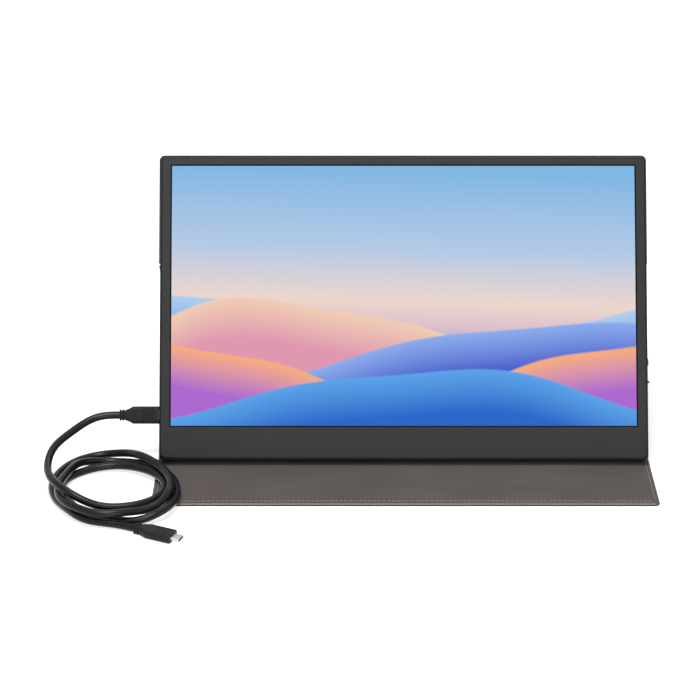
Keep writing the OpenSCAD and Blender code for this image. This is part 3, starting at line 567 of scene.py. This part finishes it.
def cut(along, place):
    """Cuts the whole mesh by a plane across one axis and selects the cut."""
    normal = [float(i == along) for i in range(3)]
    bpy.ops.mesh.select_all(action="SELECT")
    bpy.ops.mesh.bisect(plane_co=[n * place * MM for n in normal], plane_no=normal)


def done(obj, place=None):
    """Leaves edit mode, smooths the shallow edges and puts the mesh in its place."""
    bpy.ops.object.mode_set(mode="OBJECT")
    bpy.ops.object.select_all(action="DESELECT")
    obj.select_set(True)
    bpy.context.view_layer.objects.active = obj
    bpy.ops.object.shade_smooth_by_angle(angle=math.radians(SMOOTH_DEG))
    if place is not None:
        obj.data.transform(place)
    return obj


def thicken(obj, thickness, offset, even=True):
    """Gives a sheet its thickness: inwards with offset -1, to both sides with 0."""
    bpy.ops.object.mode_set(mode="OBJECT")
    solid = obj.modifiers.new("thickness", "SOLIDIFY")
    solid.thickness, solid.offset, solid.use_even_offset = thickness * MM, offset, even
    bpy.ops.object.modifier_apply(modifier=solid.name)
    bpy.ops.object.mode_set(mode="EDIT")


def soften(obj, radius, angle=SMOOTH_DEG):
    """Rounds every edge that is sharper than an angle, after edit mode is left."""
    bevel = obj.modifiers.new("soft_edges", "BEVEL")
    bevel.width, bevel.segments, bevel.angle_limit = radius * MM, SOFT_SEGMENTS, math.radians(angle)
    bpy.ops.object.modifier_apply(modifier=bevel.name)


def copied(obj, name, place):
    """A copy with a mesh of its own, in another place."""
    other = obj.copy()
    other.data = obj.data.copy()
    other.name = other.data.name = name
    other.data.transform(place)
    bpy.context.collection.objects.link(other)
    return other


# ---------------- cover ----------------
# Profiles of a panel's border: distance in from the panel's edge, and height from the leather side
LEATHER_RIM = ((0.0, 1.0), (0.02, 0.85), (0.14, 0.48), (0.4, 0.17), (0.9, 0.0), (2.85, 0.0),
               (3.1, 0.22), (3.4, 0.3), (3.7, 0.22), (3.9, 0.06), (4.2, 0.0))
LINING_RIM = ((0.15, 1.3), (0.5, 1.75), (1.0, 2.2), (1.7, 2.5), (2.6, 2.68), (3.1, 2.6), (3.4, 2.55),
              (3.7, 2.62), (3.9, 2.7), (5.0, 2.95), (6.2, 3.0))
HIGHLIGHT_REACH, TURNED_REACH = 0.9, 2.4  # how far in the lining's painted highlight band shows, and how far the turned leather shows
CORNER_CLOSES = 3.9               # how far in the rounded corners have shrunk to points
CORNER_WELD = 0.5                 # points of a shrunk corner within this distance become one
LEATHER_T, LINING_T = 0.8, 0.6
STITCH_IN = 3.4                   # the stitch row's distance from the panel's edge
STITCH_PITCH, STITCH_LEN = 3.4, 2.5
STITCH_TOP = 2.6                  # the lining's height from the leather side, just outside the row
STITCH_CLEAR = 1.5                # where a row ends, before the corner's curve
THREAD_R = 0.3
THREAD_SIDES, THREAD_TAPER = 6, 0.72  # a stitch's sides, and its length at its surface as a share
THREAD_OUTER = 0.9                # points beyond this share of the radius lie at its surface
THREAD_PROUD = 0.35               # how far a stitch's middle lies over the lining, in thread radii
CORNER_STEPS = 7
PRESS_HALF, PRESS_DEEP = 0.7, 0.3  # a pressed line's half width and depth
PRESS_FLANK = 0.7                 # how deep it is halfway to its edge, as a share


# One panel of the cover: its names, its depth, the corners that are rounded, its place and thickness
Panel = namedtuple("Panel", "part body depth corners place full")


def corner_sheet(name, panel, inset):
    """A flat sheet, inset from the panel's outline, with the panel's free corners rounded."""
    obj = begin_plane(name, cover_w, panel.depth)
    choose(obj, points=lambda p, n: (p.x > cover_w / 2, p.y > panel.depth / 2) in panel.corners)
    bpy.ops.mesh.bevel(offset=PANEL_R * MM, segments=CORNER_STEPS, affect="VERTICES")
    choose(obj, faces=lambda p, n: True)
    if inset:
        bpy.ops.mesh.inset(thickness=inset * MM, depth=0)
        bpy.ops.mesh.select_all(action="INVERT")
        bpy.ops.mesh.delete(type="FACE")
        choose(obj, faces=lambda p, n: True)
    return obj


def rimmed_sheet(name, panel, profile):
    """A sheet whose border follows a profile, made by insets that each step up or down."""
    obj = corner_sheet(name, panel, profile[0][0])
    scale = panel.full / COVER_T
    move(z=profile[0][1] * scale)
    for (near, low), (far, high) in zip(profile, profile[1:]):
        bpy.ops.mesh.inset(thickness=(far - near) * MM, depth=0)
        move(z=(high - low) * scale)
        if far == CORNER_CLOSES:
            bpy.ops.mesh.remove_doubles(threshold=CORNER_WELD * MM)
    return obj


def press_line(obj, place):
    """Presses a rounded groove from side to side across a sheet's field."""
    for offset in (-PRESS_HALF, -PRESS_HALF / 2, 0, PRESS_HALF / 2, PRESS_HALF):
        cut(1, place + offset)
    for offset, share in ((-PRESS_HALF / 2, PRESS_FLANK), (0, 1), (PRESS_HALF / 2, PRESS_FLANK)):
        choose(obj, points=lambda p, n: abs(p.y - place - offset) < NEAR)
        move(z=-PRESS_DEEP * share)


def add_panel(panel, creases, edge, replaced):
    """A panel's leather outside with its turned-up rim, and the lining inside with its edge band,
    which is turned leather or, on the front panel, a lighter band painted as a highlight.
    """
    skin = rimmed_sheet(panel.part + "_leather", panel, LEATHER_RIM)
    bpy.ops.mesh.select_all(action="SELECT")
    bpy.ops.mesh.flip_normals()
    thicken(skin, LEATHER_T, -1)
    dress(done(skin, panel.place), "cover_leather", panel.body, replaced=replaced[:1])
    lining = rimmed_sheet(panel.part + "_suede", panel, LINING_RIM)
    for crease in creases:
        press_line(lining, crease)
    thicken(lining, LINING_T, -1)
    dress(done(lining), "cover_lining", panel.body, replaced=replaced[1:])
    finish, reach = edge
    lining.data.materials.append(finish)
    for face in lining.data.polygons:
        x, y, _ = face.center / MM
        face.material_index = int(min(x, cover_w - x, y, panel.depth - y) < reach)
    lining.data.transform(panel.place)


def stitch_row(start, end):
    """Places along a straight row of stitches: each stitch's middle."""
    run = end - start
    count = max(int(run.length / STITCH_PITCH), 1)
    return [start + run * (i + 0.5) / count for i in range(count)]


def add_stitches(panel, sides):
    """Rows of stitches along the panel's free sides, through the lining and the leather."""
    low = Vector((STITCH_IN, STITCH_IN, 0))
    high = Vector((cover_w - STITCH_IN, panel.depth - STITCH_IN, 0))
    reach = PANEL_R - STITCH_IN + STITCH_CLEAR
    rows = {"front": ((low.x + reach, low.y), (high.x - reach, low.y)),
            "back": ((low.x + reach, high.y), (high.x - reach, high.y)),
            "left": ((low.x, low.y + reach), (low.x, high.y - reach)),
            "right": ((high.x, low.y + reach), (high.x, high.y - reach))}
    bpy.ops.object.select_all(action="DESELECT")
    bpy.ops.mesh.primitive_cylinder_add(vertices=THREAD_SIDES, radius=THREAD_R * MM,
                                        depth=STITCH_LEN * MM)
    one = bpy.context.object
    bpy.ops.object.mode_set(mode="EDIT")
    choose(one, faces=lambda p, n: abs(n.z) > FACING)
    bpy.ops.mesh.inset(thickness=THREAD_R * 0.5 * MM, depth=0)
    choose(one, points=lambda p, n: Vector(p.xy).length > THREAD_R * THREAD_OUTER)
    widen(z=THREAD_TAPER)
    bpy.ops.object.mode_set(mode="OBJECT")
    made = []
    for side in sides:
        start, end = (Vector((*p, 0)) for p in rows[side])
        turn = Matrix.Rotation(math.pi / 2, 4, "Y" if abs(end.x - start.x) > 1 else "X")
        for middle in stitch_row(start, end):
            for height in (STITCH_TOP * panel.full / COVER_T + THREAD_R * THREAD_PROUD, THREAD_R):
                spot = Matrix.Translation((middle + Vector((0, 0, height))) * MM)
                made.append(copied(one, panel.part, panel.place @ spot @ turn))
    bpy.ops.object.select_all(action="DESELECT")
    for obj in made:
        obj.select_set(True)
    bpy.context.view_layer.objects.active = made[0]
    bpy.ops.object.join()
    bpy.data.objects.remove(one)
    made[0].name = panel.part + "_stitches"
    dress(done(made[0]), "cover_lining", panel.body, THREAD)


FOLD_LAP = 10                     # how far a fold's bent sheet laps the panels, in degrees
FOLD_IN, FOLD_OUT = 1.0, STRUT_T + 0.2  # its inner and outer radius
FOLD_SHORT = 0.4                  # how far it ends before the panels' sides, in corner radii
FOLD_STEPS = 16                   # its steps round the bend
FOLD_SOFT, FOLD_SOFT_SEGMENTS = 0.4, 3  # how its edges are rounded
CREASE_REACH, CREASE_DIP = 2.4, 9  # a crease's reach over each panel in mm, its dip in degrees


def add_fold(part, slot, centre, start_deg, sweep, replaced):
    """A strip bent round a fold line: a face spun about X."""
    y, z = centre
    start_deg, sweep = start_deg - FOLD_LAP, sweep + 2 * FOLD_LAP
    half = cover_w / 2 - PANEL_R * FOLD_SHORT
    bpy.ops.object.select_all(action="DESELECT")
    bpy.ops.mesh.primitive_plane_add(size=1, location=(0, (FOLD_IN + FOLD_OUT) / 2 * MM, 0))
    obj = begun(part, (2 * half, FOLD_OUT - FOLD_IN, 1))
    bpy.ops.mesh.select_all(action="SELECT")
    bpy.ops.mesh.spin(steps=FOLD_STEPS, angle=-math.radians(sweep), center=(0, 0, 0), axis=(1, 0, 0))
    bpy.ops.mesh.select_all(action="SELECT")
    bpy.ops.mesh.normals_make_consistent(inside=False)
    choose(obj, edges=lambda p, d: abs(abs(p.x) - half) < NEAR
           and abs(Vector(p.yz).length - FOLD_OUT) < ROUND_NEAR)
    bpy.ops.mesh.bevel(offset=FOLD_SOFT * MM, segments=FOLD_SOFT_SEGMENTS, affect="EDGES")
    dress(done(obj, turned(start_deg, y, z)), slot, replaced=replaced)
    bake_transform(obj)


def add_crease(part, slot, centre, start_deg, end_deg):
    """The narrow sheet inside a fold: a V across the fold line, its arms along both panels."""
    reach = CREASE_REACH
    y, z = centre
    half = cover_w / 2 - PANEL_R
    obj = begin_plane(part, 2 * half, 2 * reach)
    bpy.ops.mesh.select_all(action="SELECT")
    move(x=-half, y=-reach)
    for place in (-reach / 2, 0, reach / 2):
        cut(1, place)
    arms = {-1: math.radians(start_deg + CREASE_DIP), 1: math.radians(end_deg - CREASE_DIP)}
    mesh = bmesh.from_edit_mesh(obj.data)
    for v in mesh.verts:
        s = v.co.y / MM
        a = arms[-1 if s < 0 else 1]
        v.co.y, v.co.z = (abs(s) * math.cos(a)) * MM, (abs(s) * math.sin(a)) * MM
    bmesh.update_edit_mesh(obj.data)
    thicken(obj, LINING_T, 0)
    dress(done(obj, Matrix.Translation((0, y * MM, z * MM))), slot)
    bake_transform(obj)


CREASE_Y = 5.8                    # pressed line in front of the monitor's contact line
SPINE_W, GROOVE_W = 11.0, 2.0     # the spine panel at the strut's foot and the pressed groove above it
FRONT_CORNERS = {(False, False), (True, False)}
BACK_CORNERS = {(False, True), (True, True)}


def add_cover():
    """The cover's three panels with their stitches, and what bends at its two folds."""
    on_base = Matrix.Translation((cover_low.x * MM, cover_low.y * MM, 0))
    upright = Matrix.Rotation(math.pi / 2, 4, "X")
    on_strut = STRUT @ Matrix.Translation(Vector((cover_low.x, STRUT_T, FOLD_GAP)) * MM) @ upright
    on_top = (MONITOR @ Matrix.Translation(Vector((cover_low.x, BODY_T + AIR_GAP + COVER_T,
                                                   FOLD_V + FOLD_GAP)) * MM) @ upright)
    front = Panel("front_panel", "base", cover_high.y - cover_low.y, FRONT_CORNERS, on_base, COVER_T)
    strut = Panel("strut", "strut", strut_len - 2 * FOLD_GAP, set(), on_strut, STRUT_T)
    top = Panel("top_panel", "top_panel", BODY_H + COVER_OVER - FOLD_V - FOLD_GAP, BACK_CORNERS,
                on_top, COVER_T)
    turned_edge = FINISHES["cover_leather"], TURNED_REACH
    # The front panel's lining edge gets the painted highlight band.
    add_panel(front, (-CREASE_Y - cover_low.y,), (PAINTED_EDGE_HIGHLIGHT, HIGHLIGHT_REACH), ("base_skin", "base_lining"))
    add_panel(strut, (SPINE_W + GROOVE_W / 2,), turned_edge, ("strut_skin", "strut_lining"))
    add_panel(top, (), turned_edge, ("top_skin", "top_lining"))
    add_stitches(front, ("front", "left", "right"))
    add_stitches(strut, ("left", "right"))
    add_stitches(top, ("back", "left", "right"))
    foot, upper = (foot_y, COVER_T), (upper_y, upper_z)
    add_fold("foot_fold_leather", "cover_leather", foot, -90, 90 + strut_tilt,
             ("foot_fold",))
    add_crease("foot_fold_suede", "cover_lining", foot, 180, 90 + strut_tilt)
    add_fold("upper_fold_suede", "cover_lining", upper, 180 - LEAN, LEAN + strut_tilt,
             ("upper_fold",))
    add_crease("upper_fold_leather", "cover_leather", upper, 90 - LEAN, -90 + strut_tilt)


# ---------------- monitor: frame and screen ----------------
BEZEL_BACK = 2.325                # where the front frame meets the housing, behind the face
BEZEL_T = 0.9
CORNER_R, CORNER_SEGMENTS = 4.4, 9
FRAME_MARGIN = 0.95               # black glass that shows round the picture
OPENING_R, OPENING_SEGMENTS = 0.9, 4
FRAME_SOFT, FRAME_SOFT_DEG = 0.12, 25  # how far the frame's edges are rounded, and from which angle on
FLAT = 0.97                       # faces above this cosine belong to the frame's grained flat face
# From the frame's outside to the crisp edge of its face: distance in, and depth behind the face
FRAME_EDGE = ((0.0, 1.9), (0.12, 1.35), (0.45, 0.8), (1.0, 0.32), (1.6, 0.0))
FRAME_LIP = (0.2, 0.75, 1.4, 1.9)  # how much higher each of those edges runs along the bottom
SCREEN_W, SCREEN_H = 344.16, 193.59
CHIN_H = 26.4                     # height of the picture's lower edge above the body's bottom
GLASS_REACH = 2.6                 # how far the panel's glass reaches past the picture
CELL_W, CELL_T = 1.05, 1.1        # the panel's depth behind the face, and its thickness
GLASS_GRIND = 0.15                # how far the glass's edges are ground
PICTURE_IN = 1                    # a face this far inside the picture's edge, at its middle, shows it


def add_frame():
    """The front frame: a thin moulded shell, its flat face grained and its rounded rim satin and
    painted darker than the face, as painted shade.
    """
    half = SCREEN_W / 2 + FRAME_MARGIN
    foot, top = CHIN_H - FRAME_MARGIN, CHIN_H + SCREEN_H + FRAME_MARGIN
    obj = begin_box("front_frame", (-side_u, FRAME_EDGE[0][1], 0), (side_u, BEZEL_BACK, BODY_H))
    choose(obj, edges=lambda p, d: abs(d.y) > FACING)
    bpy.ops.mesh.bevel(offset=CORNER_R * MM, segments=CORNER_SEGMENTS, affect="EDGES")
    choose(obj, faces=lambda p, n: n.y < -FACING)
    for (near, deep), (far, shallow) in zip(FRAME_EDGE, FRAME_EDGE[1:]):
        bpy.ops.mesh.inset(thickness=(far - near) * MM, depth=0)
        move(y=shallow - deep)
    for (_, shallow), lift in zip(FRAME_EDGE[1:], FRAME_LIP):
        choose(obj, points=lambda p, n: abs(p.y - shallow) < NEAR and p.z < CORNER_R + NEAR)
        move(z=lift)
    choose(obj, faces=lambda p, n: n.y > FACING)
    bpy.ops.mesh.delete(type="FACE")
    for along, place in ((0, -half), (0, half), (2, foot), (2, top)):
        cut(along, place)
    choose(obj, faces=lambda p, n: n.y < -FACING and abs(p.x) < half and foot < p.z < top)
    bpy.ops.mesh.delete(type="FACE")
    choose(obj, points=lambda p, n: p.y < NEAR and abs(abs(p.x) - half) < NEAR
           and min(abs(p.z - foot), abs(p.z - top)) < NEAR)
    bpy.ops.mesh.bevel(offset=OPENING_R * MM, segments=OPENING_SEGMENTS, affect="VERTICES")
    thicken(obj, BEZEL_T, -1, even=False)
    done(obj)
    soften(obj, FRAME_SOFT, FRAME_SOFT_DEG)
    dress(obj, "bezel_plastic", replaced=("front_bezel",))
    obj.data.materials.append(SATIN_RIM_PAINTED_SHADE)
    # Faces off the flat face take the rim's darker copy, which is painted shade.
    for face in obj.data.polygons:
        face.material_index = int(face.normal.y > -FLAT)
    obj.data.transform(MONITOR)
    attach(obj, "monitor")


def add_screen():
    """The display panel: glass with ground edges, its black border, and the lit picture inside it."""
    half, top = SCREEN_W / 2, CHIN_H + SCREEN_H
    obj = begin_box("display_panel", (-half - GLASS_REACH, CELL_W, CHIN_H - GLASS_REACH),
                    (half + GLASS_REACH, CELL_W + CELL_T, top + GLASS_REACH))
    choose(obj, edges=lambda p, d: True)
    bpy.ops.mesh.bevel(offset=GLASS_GRIND * MM, segments=SOFT_SEGMENTS, affect="EDGES")
    choose(obj, faces=lambda p, n: n.y < -FLAT)
    bpy.ops.mesh.inset(thickness=(GLASS_REACH - GLASS_GRIND) * MM, depth=0)
    dress(done(obj), "screen_glass")
    obj.data.materials.append(lit_picture())
    uv = obj.data.uv_layers.new(name="picture")
    for face in obj.data.polygons:
        middle = face.center / MM
        inside = (face.normal.y < -FLAT and abs(middle.x) < half - PICTURE_IN
                  and CHIN_H + PICTURE_IN < middle.z < top - PICTURE_IN)
        face.material_index = int(inside)
        for loop in face.loop_indices:
            corner = obj.data.vertices[obj.data.loops[loop].vertex_index].co / MM
            uv.data[loop].uv = ((corner.x + half) / SCREEN_W, (corner.z - CHIN_H) / SCREEN_H)
    obj.data.transform(MONITOR)
    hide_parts("lcd_cell")
    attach(obj, "monitor")


# ---------------- the lead's plugs: local z runs from the socket to the cord ----------------
PORT_DEPTH, PORT_V = 5.9, 34.5    # the port in use: behind the face, and up the body's side
PLUG_GAP = 0.4
GRIP_W, GRIP_T, GRIP_LEN = 12.9, 6.6, 19.2
GRIP_R, GRIP_SEGMENTS = 2.4, 6    # how the grip's long edges are rounded
SHOULDER_LEN, RELIEF_LEN, RELIEF_W = 4.4, 5.4, 8.4
PLUG_LEN = GRIP_LEN + SHOULDER_LEN + RELIEF_LEN
SHOULDER_BREAK = 0.4              # how far along the shoulder its slope changes, as a share
SHOULDER_SCALE = (0.84, 0.98)     # the section's width and thickness there, against the grip's
SHELL_W, SHELL_T, SHELL_IN = 8.2, 2.4, 3.0
MOUTH_RIM = 1.9                   # the rim of the grip's end face round the shell
GROOVES, GROOVE_FROM, GROOVE_PITCH, GROOVE_DEEP, GROOVE_SIDE = 4, 4.0, 2.4, 0.3, 0.2
RELIEF_DEEP, RELIEF_RIB, RIB_SIDE = 0.6, 0.8, 0.2
RELIEF_PITCH = (RELIEF_LEN - RELIEF_RIB) / 2
RELIEF_RIBS = [i * RELIEF_PITCH for i in range(3)]
EDGE_SOFT = 0.18                  # how far a moulded edge is rounded


def grow(z, x=1.0, y=1.0):
    """Extrudes the chosen end face along the plug and scales it about the plug's axis."""
    bpy.ops.mesh.extrude_region_move(TRANSFORM_OT_translate={"value": (0, 0, z * MM)})
    widen(x, y)


def moulded_grip():
    """The plug's grip: a flat rounded block with finger grooves, a shoulder and a ribbed relief."""
    obj = begin_box("plug_moulding", (-GRIP_W / 2, -GRIP_T / 2, 0), (GRIP_W / 2, GRIP_T / 2, GRIP_LEN))
    choose(obj, edges=lambda p, d: abs(d.z) > FACING)
    bpy.ops.mesh.bevel(offset=GRIP_R * MM, segments=GRIP_SEGMENTS, affect="EDGES")
    starts = [GROOVE_FROM + i * GROOVE_PITCH for i in range(GROOVES)]
    for start in starts:
        cut(2, start)
        cut(2, start + GROOVE_PITCH / 2)
    for start in starts:
        choose(obj, faces=lambda p, n: abs(n.y) > FACING and start < p.z < start + GROOVE_PITCH / 2)
        bpy.ops.mesh.inset(thickness=GROOVE_SIDE * MM, depth=0, use_individual=True)
        widen(y=1 - 2 * GROOVE_DEEP / GRIP_T)
    choose(obj, faces=lambda p, n: n.z > FACING)
    grow(SHOULDER_LEN * SHOULDER_BREAK, *SHOULDER_SCALE)
    grow(SHOULDER_LEN * (1 - SHOULDER_BREAK), RELIEF_W / GRIP_W / SHOULDER_SCALE[0])
    rib = ((0.0, 0), (RELIEF_RIB, 0), (RELIEF_RIB + RIB_SIDE, RELIEF_DEEP),
           (RELIEF_PITCH - RIB_SIDE, RELIEF_DEEP))
    ribs = [(0.0, 0), *[(start + rise, deep) for start in RELIEF_RIBS for rise, deep in rib][:-2]]
    for (low, near), (high, far) in zip(ribs, ribs[1:]):
        if high > low:
            grow(high - low, *((across - 2 * far) / (across - 2 * near)
                               for across in (RELIEF_W, GRIP_T)))
    choose(obj, faces=lambda p, n: abs(p.z) < NEAR)
    bpy.ops.mesh.inset(thickness=MOUTH_RIM * MM, depth=0)
    widen(SHELL_W / (GRIP_W - 2 * MOUTH_RIM), SHELL_T / (GRIP_T - 2 * MOUTH_RIM))
    grow(SHELL_IN)
    done(obj)
    soften(obj, EDGE_SOFT)
    return dress(obj, "plug_plastic")


def add_plugs():
    """The plug in the monitor's side and the free one on the table, each on its end of the cord."""
    side = Matrix.Translation(Vector((-side_u, PORT_DEPTH, PORT_V)) * MM)
    mated = (MONITOR @ side @ Matrix.Rotation(-math.pi / 2, 4, "Y")
             @ Matrix.Translation((0, 0, PLUG_GAP * MM)))
    end = Matrix.Translation(Vector((-side_u + FREE_END[0], FREE_END[1], FREE_END[2])) * MM)
    lying = Matrix.Rotation(math.radians(FREE_TURN), 4, "Z") @ Matrix.Rotation(math.pi / 2, 4, "Z")
    free = (end @ lying @ Matrix.Rotation(math.pi / 2, 4, "X")
            @ Matrix.Translation((0, 0, PLUG_LEN * MM)) @ Matrix.Rotation(math.pi, 4, "Y"))
    grip = moulded_grip()
    other = copied(grip, "free_plug_moulding", free)
    grip.data.transform(mated)
    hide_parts("plug_grip")
    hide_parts("free_grip", "free_relief")
    for piece in (grip, other):
        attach(piece, "lead")
    return grip, other


# ---------------- table and light ----------------
WHITE = (1, 1, 1, 1)
TABLE_SIZE = 8                    # metres
TABLE_GREY = (0.8, 0.8, 0.8, 1)
TABLE_GLOW = 0.7                  # how much the table shines by itself where it is looked at
ROOM_LEVEL = 0.25                 # how brightly the room lights the object
LAMP_AIM = (0, 0, 0.08)
LAMPS = (                         # place, size, and strength in watts
    ((-0.2, -0.35, 1.3), 0.5, 13),
    ((0.2, -1.9, 0.6), 1.2, 11),
    ((0.1, 1.2, 1.6), 1.0, 5),
)


def looked_at(tree):
    """1 for what the camera sees, also mirrored or through glass, and 0 for light on the object."""
    path = add(tree, "LightPath").outputs
    mirrored = add(tree, "Math", {0: path["Is Camera Ray"], 1: path["Is Glossy Ray"]},
                   operation="MAXIMUM")
    return add(tree, "Math", {0: mirrored, 1: path["Is Transmission Ray"]}, operation="MAXIMUM")


def add_table():
    """A matt white table that looks white all over, apart from the object's shadow."""
    bpy.ops.object.select_all(action="DESELECT")
    bpy.ops.mesh.primitive_plane_add(size=TABLE_SIZE, location=(0, 0, 0))
    table = bpy.context.object
    table.name = table.data.name = "table"
    material = bpy.data.materials.new("matt_white_table")
    material.use_nodes = True
    tree = material.node_tree
    tree.nodes.clear()
    matt = add(tree, "BsdfDiffuse", {"Color": TABLE_GREY})
    glow = add(tree, "Emission", {"Color": WHITE, "Strength": TABLE_GLOW})
    bright = add(tree, "AddShader", {0: matt, 1: glow})
    add(tree, "OutputMaterial", {"Surface": add(tree, "MixShader", {"Fac": looked_at(tree), 1: matt,
                                                                    2: bright})})
    table.data.materials.append(material)


def add_light():
    """A pale room that looks white, and large soft lamps above, in front and behind."""
    world = bpy.data.worlds.new("pale_room")
    world.use_nodes = True
    tree = world.node_tree
    tree.nodes.clear()
    level = add(tree, "MapRange", {"Value": looked_at(tree), "To Min": ROOM_LEVEL, "To Max": 1.0})
    add(tree, "OutputWorld", {"Surface": add(tree, "Background", {"Color": WHITE, "Strength": level})})
    bpy.context.scene.world = world
    bpy.context.scene.view_settings.view_transform = "Standard"
    for i, (place, size, watts) in enumerate(LAMPS):
        lamp = bpy.data.lights.new(f"soft_lamp_{i}", "AREA")
        lamp.shape, lamp.size, lamp.energy = "DISK", size, watts
        holder = bpy.data.objects.new(lamp.name, lamp)
        holder.location = place
        holder.rotation_euler = (Vector(LAMP_AIM) - Vector(place)).to_track_quat("-Z", "Y").to_euler()
        bpy.context.collection.objects.link(holder)


add_cover()
add_frame()
add_screen()
plugs = add_plugs()
add_table()
add_light()
